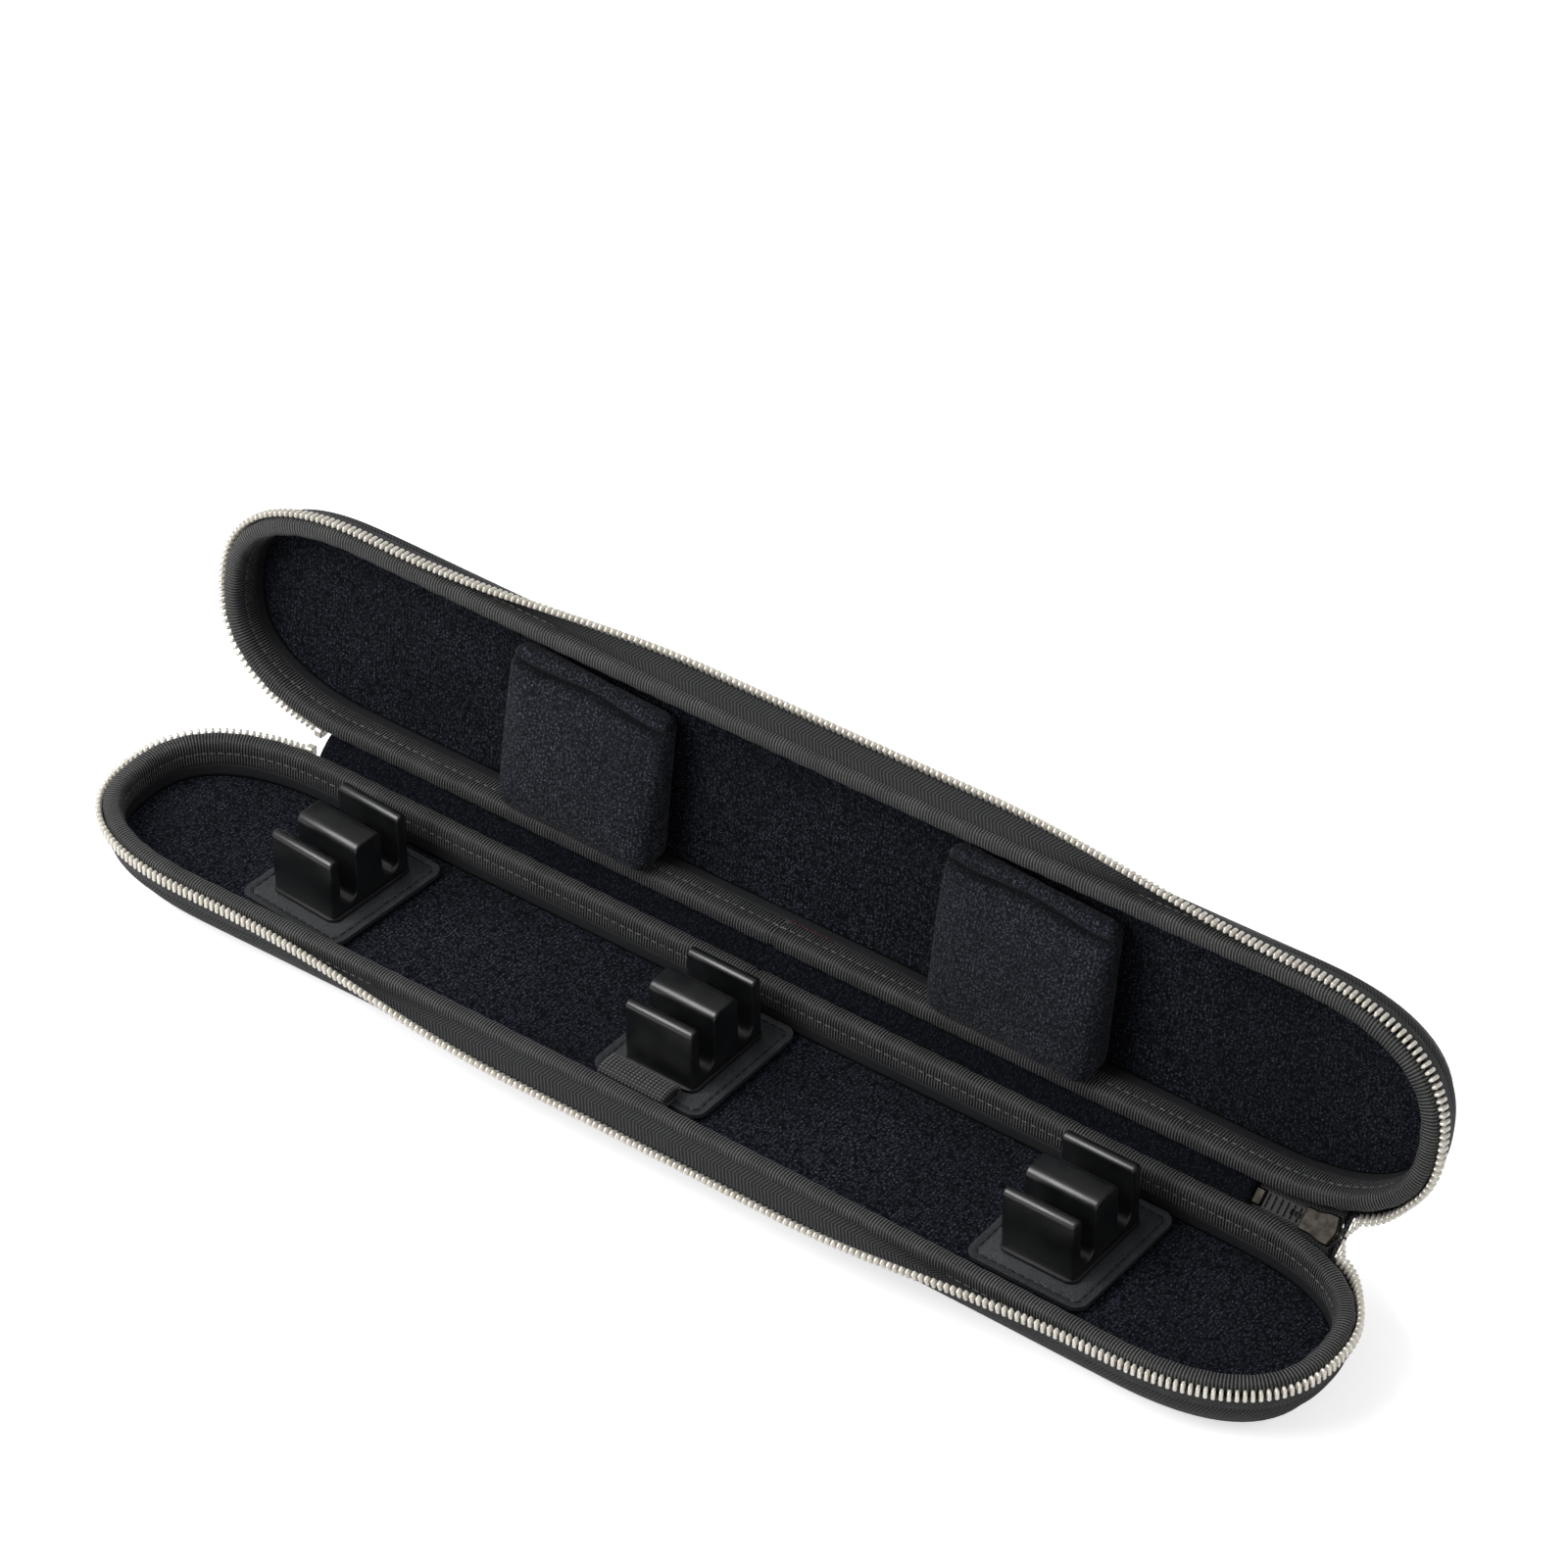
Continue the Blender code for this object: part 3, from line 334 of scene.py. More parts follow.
def wall_out(drop):
    """Where the shell's outer face lies, outwards from the rim outline, at a depth below the rim."""
    return -(WALL_SET_BACK + WALL_TAPER * drop / TRAY_DEPTH)


def rim_rows(tray, section):
    """Rows right round the rim, one for each pair of out and drop."""
    rows = []
    for out, drop in section:
        row = [rim_spot(tray, RIM_RUN * i / RIM_STEPS, out, drop) for i in range(RIM_STEPS)]
        rows.append(row + row[:1])
    return rows


def both_faces(across, along, spot):
    """Rows over one face of a sheet and back over the other, of places by row, number and face."""
    rows = []
    for face, order in ((1, range(across + 1)), (-1, range(across, -1, -1))):
        for number in order:
            rows.append([spot(number, i, face) for i in range(along + 1)])
    return rows + rows[:1]


def strip(name, finish, rows):
    """A strip of rows of places: a grid, laid out place by place, with a map in metres named cloth.

    Each row runs along the strip. The map's first number runs along it and the second across it. Places that
    meet are joined, and what stays open at the ends is closed."""
    rows = np.array(rows)
    across, along = rows.shape[:2]
    pick()
    bpy.ops.mesh.primitive_grid_add(x_subdivisions=along - 1, y_subdivisions=across - 1, size=1.0)
    made = bpy.context.object
    made.name = name
    mesh = made.data
    mesh.vertices.foreach_set("co", rows.reshape(-1))
    lengths, widths = distances(rows.swapaxes(0, 1)), distances(rows)
    corners = np.zeros(len(mesh.loops), dtype=np.int32)
    mesh.loops.foreach_get("vertex_index", corners)
    flat = np.column_stack((lengths[corners % along], widths[corners // along]))
    cloth = mesh.uv_layers[0]
    cloth.name = "cloth"
    cloth.data.foreach_set("uv", flat.reshape(-1))
    mesh.update()
    bpy.ops.object.mode_set(mode="EDIT")
    bpy.ops.mesh.select_all(action="SELECT")
    bpy.ops.mesh.remove_doubles(threshold=0.000002)
    bpy.ops.mesh.fill_holes(sides=0)
    bpy.ops.mesh.normals_make_consistent(inside=False)
    bpy.ops.object.mode_set(mode="OBJECT")
    mesh.shade_smooth()
    for face in mesh.polygons:
        face.use_smooth = len(face.vertices) < 5
    mesh.materials.append(finish)
    return made


def cloth_place(tree):
    """The lengths along and across a strip, from its own map."""
    flat = add_node(tree, "UVMap", uv_map="cloth").outputs[0]
    parts = add_node(tree, "SeparateXYZ", {0: flat}).outputs
    return flat, parts[0], parts[1]


SHELL_TOP = 0.0012
SHELL_CORNER = 0.0152
CORNER_STEPS = 12
for tray in TRAYS:
    # From the inner floor up the inner wall, down the outer wall and round its corner to the underside
    section = [(wall_out(0.0216) - 0.0092, 0.0224), (wall_out(0.0200) - 0.0052, 0.0212)]
    section += [(wall_out(0.0170) - 0.0034, 0.0170), (wall_out(SHELL_TOP) - 0.0032, SHELL_TOP)]
    section += [(wall_out(SHELL_TOP), SHELL_TOP), (wall_out(0.0060), 0.0060), (wall_out(0.0100), 0.0100)]
    for i in range(CORNER_STEPS + 1):
        angle = math.pi / 2 * i / CORNER_STEPS
        out = wall_out(TRAY_DEPTH) + 0.0008 * (1 - i / CORNER_STEPS) - SHELL_CORNER * (1 - math.cos(angle))
        section.append((out, TRAY_DEPTH - SHELL_CORNER * (1 - math.sin(angle))))
    piece = strip(tray + "_moulded_shell", leatherette, rim_rows(tray, section))
    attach(piece, tray)
    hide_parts(tray + "_shell")

# Spine
# A band of leatherette joins the trays along the hinge side. It is sewn flat to both walls and folds over
# freely between them, and its inner face is covered with a strip of navy plush.

SPINE_ENDS = (-0.1830, 0.1745)
SPINE_MIDDLE = Vector((0.04248, 0.02525))
SPINE_WAY = Vector((math.cos(FOLD), math.sin(FOLD)))
SPINE_STEPS = 220
SPINE_ROWS = 10
SPINE_WALL = (0.0392, 0.0230)
SKIN = ((0.0388, 0.0166), (0.0390, 0.0210), (0.0392, 0.0228), (0.0400, 0.0237))
SKIN += ((0.0411, 0.0246), (0.04225, 0.0255))
NAP = ((0.0381, 0.0226), (0.0385, 0.0237), (0.0392, 0.0246), (0.0401, 0.0256))
NAP += ((0.0409, 0.0264), (0.0416, 0.0269))


def mirrored(spot):
    """A place across the spine, as y and z, carried over to the other half of the fold."""
    return spot - SPINE_WAY * 2 * (spot - SPINE_MIDDLE).dot(SPINE_WAY)


def fold_blend(piece, upper, wall, middle):
    """Bakes the piece's place into its mesh."""
    if upper:
        tuple(wall)
        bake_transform(piece)
    else:
        tuple(wall)
        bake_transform(piece)


def spine_spot(x, line, share, proud, upper):
    """A place on the lower half of the spine's fold, or mirrored to its upper half."""
    number = min(int(share * (len(line) - 1)), len(line) - 2)
    part = share * (len(line) - 1) - number
    spot = Vector(line[number]).lerp(Vector(line[number + 1]), part)
    way = (Vector(line[number + 1]) - Vector(line[number])).normalized()
    spot += Vector((-way.y, way.x)) * proud
    spot -= SPINE_WAY * max((spot - SPINE_MIDDLE).dot(SPINE_WAY), 0.0)
    return Vector((x, *(mirrored(spot) if upper else spot)))


def spine_strip(name, finish, line, thick, wave, upper):
    """One half of the spine's skin or of its plush, from a tray's wall to the middle of the fold."""

    def spot(number, i, face):
        share = number / SPINE_ROWS
        x = SPINE_ENDS[0] + (SPINE_ENDS[1] - SPINE_ENDS[0]) * i / SPINE_STEPS
        swell = wave * math.sin(x * 230.0 + 2.0 * math.sin(x * 71.0)) * math.sin(math.pi * share)
        return spine_spot(x, line, share, face * thick / 2 + swell, upper)

    piece = strip(name, finish, both_faces(SPINE_ROWS, SPINE_STEPS, spot))
    wall = mirrored(Vector(SPINE_WALL)) if upper else SPINE_WALL
    fold_blend(piece, upper, (0.0, *wall), (0.0, *SPINE_MIDDLE))
    return piece


for name, tray, upper in (("lower", "base", False), ("upper", "lid", True)):
    piece = spine_strip(name + "_spine_skin", leatherette, SKIN, 0.0010, 0.0, upper)
    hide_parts(tray + "_spine_flap", "spine_band")

# Ribbon binding
# A black ribbed ribbon is folded over each rim and sewn through the wall with one row of stitches. Each
# ribbon is one strip laid along the rim, a little wavy at its lower edge where the needle drew it in.

# Cords that cross a ribbon: rounded ribs with gaps between them, whose threads differ a little from rib to
# rib
tree, given, put = new_effect("cross_ribs", ("Along", "Across", "Pitch"), ("Rib", "Thread"))
cross_ribs = tree
count = calculated(tree, "DIVIDE", given["Along"], given["Pitch"])
wave = calculated(tree, "ABSOLUTE", calculated(tree, "SINE", times(tree, count, math.pi)))
rib_number = calculated(tree, "FLOOR", count)
beside = times(tree, given["Across"], 1500.0)
spread = add_node(tree, "CombineXYZ", {0: rib_number, 1: beside})
tree.links.new(calculated(tree, "POWER", wave, 3.4), put["Rib"])
tree.links.new(noise(tree, 1.0, 2.0, spread.outputs[0]), put["Thread"])

grosgrain, tree, shader = new_finish("grosgrain", roughness=0.5, specular_ior_level=0.35, sheen_weight=0.04)
flat, along, across = cloth_place(tree)
ribs = effect(tree, cross_ribs, {"Along": along, "Across": across, "Pitch": 0.00105})
# Painted light: the colour follows the rib profile, with painted highlights on the rib crests and painted
# shade, near black, in the gaps
painted_light = times(tree, ribs["Rib"], ranged(tree, ribs["Thread"], 0.3, 0.7, 0.45, 1.0))
painted_light = times(tree, painted_light, ranged(tree, noise(tree, 90.0, 2.0, flat), 0.3, 0.7, 0.75, 1.1))
coloured(tree, shader, painted_light, (0.0006, 0.0006, 0.0010), (0.205, 0.212, 0.205))
bumped(tree, shader, calculated(tree, "MULTIPLY_ADD", ribs["Thread"], 0.3, ribs["Rib"]), 1.0, 0.0004)

BINDING_STEPS = 640
RIBBON_JOINT = 0.0045
RIBBON_MIDDLE = 0.0016
JOINT_WIDTH = 0.0012
# Up the outer leg, over the rounded top, down the inner leg, and back inside it round the wall's edge
section = [(0.0011, 0.0078), (0.0013, 0.0070), (0.0013, 0.0052), (0.0014, 0.0036), (0.0014, 0.0022)]
section += [(0.0011, 0.0011), (0.0005, 0.0004), (-0.0004, 0.00005), (-0.0016, -0.0001), (-0.0028, 0.00005)]
section += [(-0.0037, 0.0004), (-0.0043, 0.0011), (-0.0047, 0.0022), (-0.0048, 0.0036), (-0.0045, 0.0048)]
section += [(-0.0047, 0.0058), (-0.0047, 0.0074), (-0.00465, 0.0085), (-0.0044, 0.0088), (-0.0041, 0.0086)]
section += [(-0.0035, 0.0082), (-0.0035, 0.0009), (0.0003, 0.0009), (0.0003, 0.0077)]
LAST_WAVY = 19
ROUNDED = range(3, 14)
for tray in TRAYS:
    rows = []
    for number, (out, drop) in enumerate(section):
        row = []
        for i in range(BINDING_STEPS + 1):
            run = RIM_RUN * i / BINDING_STEPS + RIBBON_JOINT
            edge = 0.00035 * drop / 0.0075 * (math.sin(run * 1900.0 + 3.0 * math.sin(run * 47.0)))
            drawn = edge * (0.6 + 0.4 * math.sin(run * 83.0)) if number <= LAST_WAVY else 0.0
            proud = 0.00012 * math.sin(run * 610.0 + number) if number in ROUNDED else 0.0
            # The two ends of the ribbon meet at a butt joint, a little pinched
            away = min(i, BINDING_STEPS - i) * RIM_RUN / BINDING_STEPS
            pinch = 0.0007 * math.exp(-((away / JOINT_WIDTH) ** 2))
            drawn_in = (out + RIBBON_MIDDLE) * (1 - pinch / 0.003) - RIBBON_MIDDLE
            spot_out = wall_out(max(drop, 0.001)) + drawn_in + (proud if out > -0.002 else -proud)
            row.append(rim_spot(tray, run, spot_out, drop + 0.4 * drawn + pinch * (drop < 0.003)))
        row[-1] = row[0]
        rows.append(row)
    piece = strip(tray + "_ribbon", grosgrain, rows + rows[:1])
    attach(piece, tray)
    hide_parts(tray + "_binding")

# Stitches through the ribbon
# One row of grey waxed thread holds both legs of the ribbon. Each stitch is a thread 2.6 mm long that dives
# into the cloth at its ends, and the row shows on both sides of the wall.

thread_grey, tree, shader = new_finish("thread_grey", roughness=0.55, sheen_weight=0.2)
twist = noise(tree, 1800.0, 2.0)
coloured(tree, shader, ranged(tree, twist, 0.35, 0.65), (0.05, 0.05, 0.052), (0.20, 0.20, 0.20))
bumped(tree, shader, twist, 0.5, 0.00005)

STITCH_LENGTH = 0.0026
STITCH_FLAT = 0.0007


def stitch_model(radius):
    """One stitch, along X and proud along Z: a six-sided thread bent down at both ends."""
    pick()
    lying = (0.0, math.pi / 2, 0.0)
    bpy.ops.mesh.primitive_cylinder_add(vertices=6, radius=radius, depth=STITCH_LENGTH, rotation=lying)
    made = settled("stitch")
    bpy.ops.object.mode_set(mode="EDIT")
    for x in (-STITCH_FLAT, STITCH_FLAT):
        bpy.ops.mesh.select_all(action="SELECT")
        bpy.ops.mesh.bisect(plane_co=(x, 0.0, 0.0), plane_no=(1.0, 0.0, 0.0))
    bpy.ops.object.mode_set(mode="OBJECT")
    for vert in made.data.vertices:
        vert.co.z -= 0.00024 * max(0.0, abs(vert.co.x) - STITCH_FLAT) / 0.0006
    made.data.shade_smooth()
    return made


def laid_copies(name, finish, model, places):
    """Copies of a model at these places, each with its own mesh, joined to one piece."""
    pick()
    copies = []
    for place in places:
        copy = bpy.data.objects.new(name, model.data.copy())
        bpy.context.scene.collection.objects.link(copy)
        copy.data.transform(place)
        copy.select_set(True)
        copies.append(copy)
    bpy.context.view_layer.objects.active = copies[0]
    bpy.ops.object.join()
    made = bpy.context.object
    made.name = name
    made.data.materials.append(finish)
    bpy.data.objects.remove(model)
    return made


def turned(spot, *axes):
    """A place with these three axes."""
    return Matrix.Translation(spot) @ Matrix(axes).transposed().to_4x4()


def axes_at(spot, along, proud):
    """A place whose X runs along and whose Z stands proud."""
    along = along.normalized()
    beside = proud.cross(along).normalized()
    return turned(spot, along, beside, along.cross(beside))


STITCH_STEP = 0.0032
for tray in TRAYS:
    places = []
    count = int(RIM_RUN / STITCH_STEP)
    for out, drop in ((0.00125, 0.0052), (-0.00445, 0.0048)):
        for i in range(count):
            run = RIM_RUN * i / count
            spot = rim_spot(tray, run, wall_out(drop) + out, drop)
            along = rim_spot(tray, run + 0.0005, wall_out(drop) + out, drop) - spot
            proud = rim_spot(tray, run, wall_out(drop) + out * 1.3, drop) - spot
            places.append(axes_at(spot, along, proud))
    piece = laid_copies(tray + "_ribbon_stitches", thread_grey, stitch_model(0.00023), places)
    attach(piece, tray)

basting_red = new_finish("basting_red", roughness=0.7, base_color=(0.075, 0.010, 0.010, 1.0))[0]
places = []
for i in range(11):
    # Thread ends of the basting stay beside the lid ribbon's joint
    run = RIBBON_JOINT - 0.0010 - 0.0015 * i
    drop = 0.0090 + 0.0004 * math.sin(i * 2.3)
    spot = rim_spot("lid", run, wall_out(drop) - 0.0045, drop)
    along = rim_spot("lid", run + 0.0005, wall_out(drop) - 0.0045, drop + 0.0002 * math.sin(i * 1.7)) - spot
    proud = rim_spot("lid", run, wall_out(drop) - 0.0060, drop) - spot
    places.append(axes_at(spot, along, proud) @ Matrix.Scale(0.55, 4))
piece = laid_copies("lid_basting_ends", basting_red, stitch_model(0.00040), places)
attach(piece, "lid")

# Zip tapes
# A black herringbone tape is sewn to the shell under the ribbon and leans out from it: nearly flat along
# the front, nearly upright round the ends. Its free edge carries the teeth.

ZIP_LEFT_END = 0.1855
ZIP_RIGHT_END = 0.2045
UPRIGHT_LEAN = math.radians(14)
FLAT_LEAN = math.radians(92)
MOUTH_LEAN = math.radians(55)
MOUTH_RUN = 0.024
FREE_WIDTH = 0.0043
MORE_IN_FRONT = 0.0021
KNEE = (0.00025, 0.0083)


def hinge_run(x):
    """The run at which the hinge side passes this x."""
    hinge = RIM[RIM[:, 2] > 0.0]
    hinge = hinge[(hinge[:, 0] < RIM_RUN / 2) == (x < 0)]
    order = np.argsort(hinge[:, 1])
    return float(np.interp(x, hinge[order, 1], hinge[order, 0]))


ZIP_START = hinge_run(-ZIP_LEFT_END)
ZIP_RUN = hinge_run(ZIP_RIGHT_END) - ZIP_START


def eased(value):
    """A share from 0 to 1 that starts and ends without a kink."""
    value = min(max(value, 0.0), 1.0)
    return value * value * (3 - 2 * value)


def zip_flare(run):
    """How much the tape opens outwards: nothing round the ends, fully along the middle of the front."""
    point, normal = rim_at(ZIP_START + run)
    if point.y > 0:
        return 0.0
    return 1 - eased((abs(point.x - 0.010) - 0.050) / 0.125)


def zip_lean(run):
    """How far the tape leans out from upright at a length along the zip."""
    lean = UPRIGHT_LEAN + (FLAT_LEAN - UPRIGHT_LEAN) * zip_flare(run)
    return lean + (MOUTH_LEAN - UPRIGHT_LEAN) * eased(1 - (ZIP_RUN - run) / MOUTH_RUN)


def tape_reach(run):
    """The width of tape that stands free of the wall: more of it shows along the middle of the front."""
    return FREE_WIDTH + MORE_IN_FRONT * zip_flare(run)


def leaning(tray, run, lean):
    """The direction that leans outwards from the rim by this angle from upright."""
    side, place = TRAYS[tray]
    point, normal = rim_at(ZIP_START + run)
    local = Vector((normal.x * math.sin(lean), side * normal.y * math.sin(lean), math.cos(lean)))
    return place.to_3x3() @ local


# Herringbone: slanting threads whose slant turns over every few millimetres across the tape
tree, given, put = new_effect("herringbone", ("Along", "Across", "Thread", "Stripe"), ("Height", "Fleck"))
herringbone = tree
zigzag = calculated(tree, "PINGPONG", given["Across"], given["Stripe"])
slant = calculated(tree, "ADD", given["Along"], times(tree, zigzag, 1.1))
wave = calculated(tree, "SINE", times(tree, slant, given["Thread"]))
spread = add_node(tree, "CombineXYZ", {0: slant, 1: zigzag}).outputs[0]
tree.links.new(ranged(tree, wave, -1.0, 1.0), put["Height"])
tree.links.new(noise(tree, 1800.0, 2.0, spread), put["Fleck"])

twill, tree, shader = new_finish("twill", roughness=0.6, specular_ior_level=0.3, sheen_weight=0.04)
flat, along, across = cloth_place(tree)
weave = effect(tree, herringbone, {"Along": along, "Across": across, "Thread": 4800.0, "Stripe": 0.0023})
# Painted light: the colour follows the weave's height, with painted highlights on the slanting threads and
# painted shade between them, flecked from thread to thread
painted_light = calculated(tree, "POWER", weave["Height"], 1.7)
painted_light = times(tree, painted_light, ranged(tree, weave["Fleck"], 0.3, 0.7, 0.5, 1.0))
coloured(tree, shader, painted_light, (0.0003, 0.0003, 0.0005), (0.058, 0.060, 0.064))
bumped(tree, shader, weave["Height"], 0.9, 0.00018)

TAPE_STEPS = 420
HALF_TAPE = 0.00035
for tray in TRAYS:
    rows = [[] for i in range(16)]
    for i in range(TAPE_STEPS + 1):
        run = ZIP_RUN * i / TAPE_STEPS
        lean, flare = zip_lean(run), zip_flare(run)
        lying = 0.0003 + HALF_TAPE
        # Sewn below the ribbon round the ends, and under the top of its outer leg along the front
        line = []
        for drop, *high in ((0.0135, -0.0030, 0.0020), (0.0112, -0.0021, 0.0022), (0.0092, -0.0012, 0.0024)):
            line.append(Vector((wall_out(drop) + lying, drop)).lerp(Vector(high), flare))
        line.append(Vector(KNEE).lerp(Vector((-0.0002, 0.0028)), flare))
        reach = tape_reach(run) - 0.0003
        edge = Vector((KNEE[0] + reach * math.sin(lean), KNEE[1] - reach * math.cos(lean)))
        ripple = 0.0001 * math.sin(run * 520.0 + 2.0 * math.sin(run * 61.0))
        for share, wavy in ((0.25, 1.0), (0.5, 1.0), (0.775, 0.5)):
            line.append(line[3].lerp(edge, share) + Vector((wavy * ripple, wavy * ripple)))
        line.append(edge)
        for number, spot in enumerate(line):
            way = (line[min(number + 1, 7)] - line[max(number - 1, 0)]).normalized()
            proud = Vector((-way.y, way.x)) * HALF_TAPE
            for row, face in ((number, -1), (15 - number, 1)):
                place = spot + proud * face
                rows[row].append(rim_spot(tray, ZIP_START + run, place.x, place.y))
    piece = strip(tray + "_tape", twill, rows + rows[:1])
    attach(piece, tray)
    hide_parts(tray + "_zip_tape")

# Metal teeth and stops
# Each tooth is one small pressed jaw of pale plated brass, clenched on the cord at the tape's edge. It
# narrows towards its rounded top. They stand 2.18 mm apart, and a plain stop holds the left end.

plated, tree, shader = new_finish("plated_brass", metallic=0.5)
worn = ranged(tree, noise(tree, 420.0, 3.0), 0.35, 0.65)
fine = noise(tree, 3200.0, 2.0)
coloured(tree, shader, worn, (0.83, 0.78, 0.68), (0.98, 0.95, 0.88))
tree.links.new(ranged(tree, fine, 0.3, 0.7, 0.28, 0.42), shader.inputs["Roughness"])
bumped(tree, shader, fine, 0.25, 0.00004)
refinish(plated, "base_top_stop", "lid_top_stop")
antique, tree, shader = new_finish("antique_brass", metallic=1.0, roughness=0.42)
worn = ranged(tree, noise(tree, 420.0, 3.0), 0.35, 0.65)
coloured(tree, shader, worn, (0.016, 0.014, 0.012), (0.034, 0.031, 0.026))
refinish(antique, "zip_slider", "pull_tab", "bottom_stop")

cord_black, tree, shader = new_finish("cord_black", roughness=0.7)
coloured(tree, shader, noise(tree, 1500.0, 2.0), (0.006, 0.006, 0.007), (0.06, 0.06, 0.06))

TOOTH_PITCH = 0.00218
TOOTH = (0.00142, 0.0026, 0.00344)
FIRST_TOOTH = 0.0038
HALF_CORD = 0.00055


def box(name, size, middle):
    """A box of this size around this middle, to be shaped."""
    pick()
    bpy.ops.mesh.primitive_cube_add(size=1.0, location=middle, scale=size)
    return settled(name)


def applied(piece, kind, **settings):
    """A modifier of this kind, set and applied at once."""
    pick(piece)
    made = piece.modifiers.new("shaping", kind)
    for name, value in settings.items():
        setattr(made, name, value)
    bpy.ops.object.modifier_apply(modifier="shaping")


def tooth_model():
    """One tooth: X along the zip, Z away from the tape, its foot at height zero."""
    made = box("tooth", TOOTH, (0.0, 0.0, TOOTH[2] / 2))
    for vert in made.data.vertices:
        vert.co.x *= 0.95 if vert.co.z < 0.001 else 0.72
        vert.co.y *= 1.0 if vert.co.z < 0.001 else 0.68
    applied(made, "BEVEL", width=0.00042, segments=2)
    made.data.shade_smooth()
    return made


def tooth_frame(tray, run):
    """The tape's free edge at this run, and the directions away from it and across it."""
    lean = zip_lean(run)
    root = rim_spot(tray, ZIP_START + run, *KNEE) + leaning(tray, run, lean) * tape_reach(run)
    return root, leaning(tray, run, lean * 0.5), leaning(tray, run, lean * 0.5 + math.pi / 2)


SPINE_TURN = Vector((0.0, SPINE_WAY.x, SPINE_WAY.y))
MOUTH = Vector((0.2050, 0.0422, 0.0213))
MOUTH_ABOVE = Vector((0.2050, 0.0464, 0.0249))
for tray in TRAYS:
    places = []
    for i in range(int((ZIP_RUN - FIRST_TOOTH) / TOOTH_PITCH)):
        root, rise, across = tooth_frame(tray, FIRST_TOOTH + TOOTH_PITCH * (i + 0.5))
        along = across.cross(rise)
        places.append(turned(root, along, across, rise))
    # The last teeth leave the rim and turn towards the other row, into the slider's mouth
    mouth, turn = (MOUTH, SPINE_TURN) if tray == "base" else (MOUTH_ABOVE, -SPINE_TURN)
    last_places = []
    for share in (0.3, 0.65, 1.0):
        lying = rise.lerp(turn, share).normalized()
        thick = along.cross(lying).normalized() * -1.0
        spot = root.lerp(mouth, share) - lying * 0.0010 * share
        last_places.append(turned(spot, thick.cross(lying), thick, lying))
    piece = laid_copies(tray + "_last_teeth", plated, tooth_model(), last_places)
    fold_blend(piece, tray == "lid", root, mouth)
    piece = laid_copies(tray + "_teeth", plated, tooth_model(), places)
    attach(piece, tray)
    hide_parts(tray + "_zip_teeth")
    rows = []
    for side, high in ((-1, 0.0), (-1, 0.0010), (1, 0.0010), (1, 0.0), (-1, 0.0)):
        row = []
        for i in range(TAPE_STEPS + 1):
            root, rise, across = tooth_frame(tray, ZIP_RUN * i / TAPE_STEPS)
            row.append(root + rise * (high - 0.0002) + across * (HALF_CORD * side))
        rows.append(row)
    piece = strip(tray + "_tooth_cord", cord_black, rows)
    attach(piece, tray)
refinish(cord_black, "zip_stub")

# Closed end of the zip
# Between the spine and the slider the two tapes lie joined, and each runs down to its own tray's wall. They
# are the same herringbone tape, and they lie along the spine's fold.

STUB_ENDS = (0.1738, 0.2040)
STUB_LINE = ((0.0388, 0.0160), (0.0383, 0.0188), (0.0384, 0.0206), (0.0390, 0.0222), (0.0427, 0.0254))
STUB_WALL = Vector((0.0383, 0.0200))
STUB_JOINED = Vector((0.0408, 0.0239))
STUB_ROWS = 8
STUB_STEPS = 24
HALF_STUB = 0.0003


def stub_line(x):
    """The stub tape's line in y and z at this x, whose lower end follows the rim round the corner."""
    inwards = rim_at(hinge_run(x))[0].y - HALF_WIDTH
    return [(y + inwards * (1 - k / 4), z) for k, (y, z) in enumerate(STUB_LINE)]


def stub_spot(number, i, face):
    """A place on the stub tape that the loop below is at."""
    x = STUB_ENDS[0] + (STUB_ENDS[1] - STUB_ENDS[0]) * i / STUB_STEPS
    return spine_spot(x, stub_line(x), number / STUB_ROWS, HALF_STUB * face, upper)


for name, upper in (("lower", False), ("upper", True)):
    piece = strip(name + "_stub_tape", twill, both_faces(STUB_ROWS, STUB_STEPS, stub_spot))
    wall, joined = (mirrored(spot) if upper else spot for spot in (STUB_WALL, STUB_JOINED))
    fold_blend(piece, upper, (0.19, *wall), (0.19, *joined))

CORNER_ROWS = 4
CORNER_COLUMNS = 8
CORNER_EDGE = 0.0042


def corner_spot(number, i, face):
    """A place on the tape's last corner, between its wall and its edge."""
    wall, edge = low.lerp(far_low, i / CORNER_COLUMNS), high.lerp(far_high, i / CORNER_COLUMNS)
    return wall.lerp(edge, number / CORNER_ROWS) + proud * face


for tray, upper in (("base", False), ("lid", True)):
    # Past the slider each tape opens to its own rim, and its last corner fills the gap to the wall
    run, lean = ZIP_START + ZIP_RUN, zip_lean(ZIP_RUN)
    line = stub_line(STUB_ENDS[1])
    low = spine_spot(STUB_ENDS[1] - 0.004, line, 0.0, -0.0004, upper)
    far_low = rim_spot(tray, run, KNEE[0], 0.0100)
    high = spine_spot(STUB_ENDS[1] + 0.0015, line, 1.0, -0.0004, upper)
    out, drop = KNEE[0] + CORNER_EDGE * math.sin(lean), KNEE[1] - CORNER_EDGE * math.cos(lean)
    far_high = rim_spot(tray, run, out, drop)
    proud = ((high + far_high) / 2 - low).cross(far_high - high).normalized() * HALF_STUB
    piece = strip(tray + "_tape_corner", twill, both_faces(CORNER_ROWS, CORNER_COLUMNS, corner_spot))
    fold_blend(piece, upper, far_high, high)

# Knitted floors
# The foam floor of each tray has a dark navy loop-pile face, so that hook tape holds anywhere on it. Its
# loops catch the light as fine pale flecks.

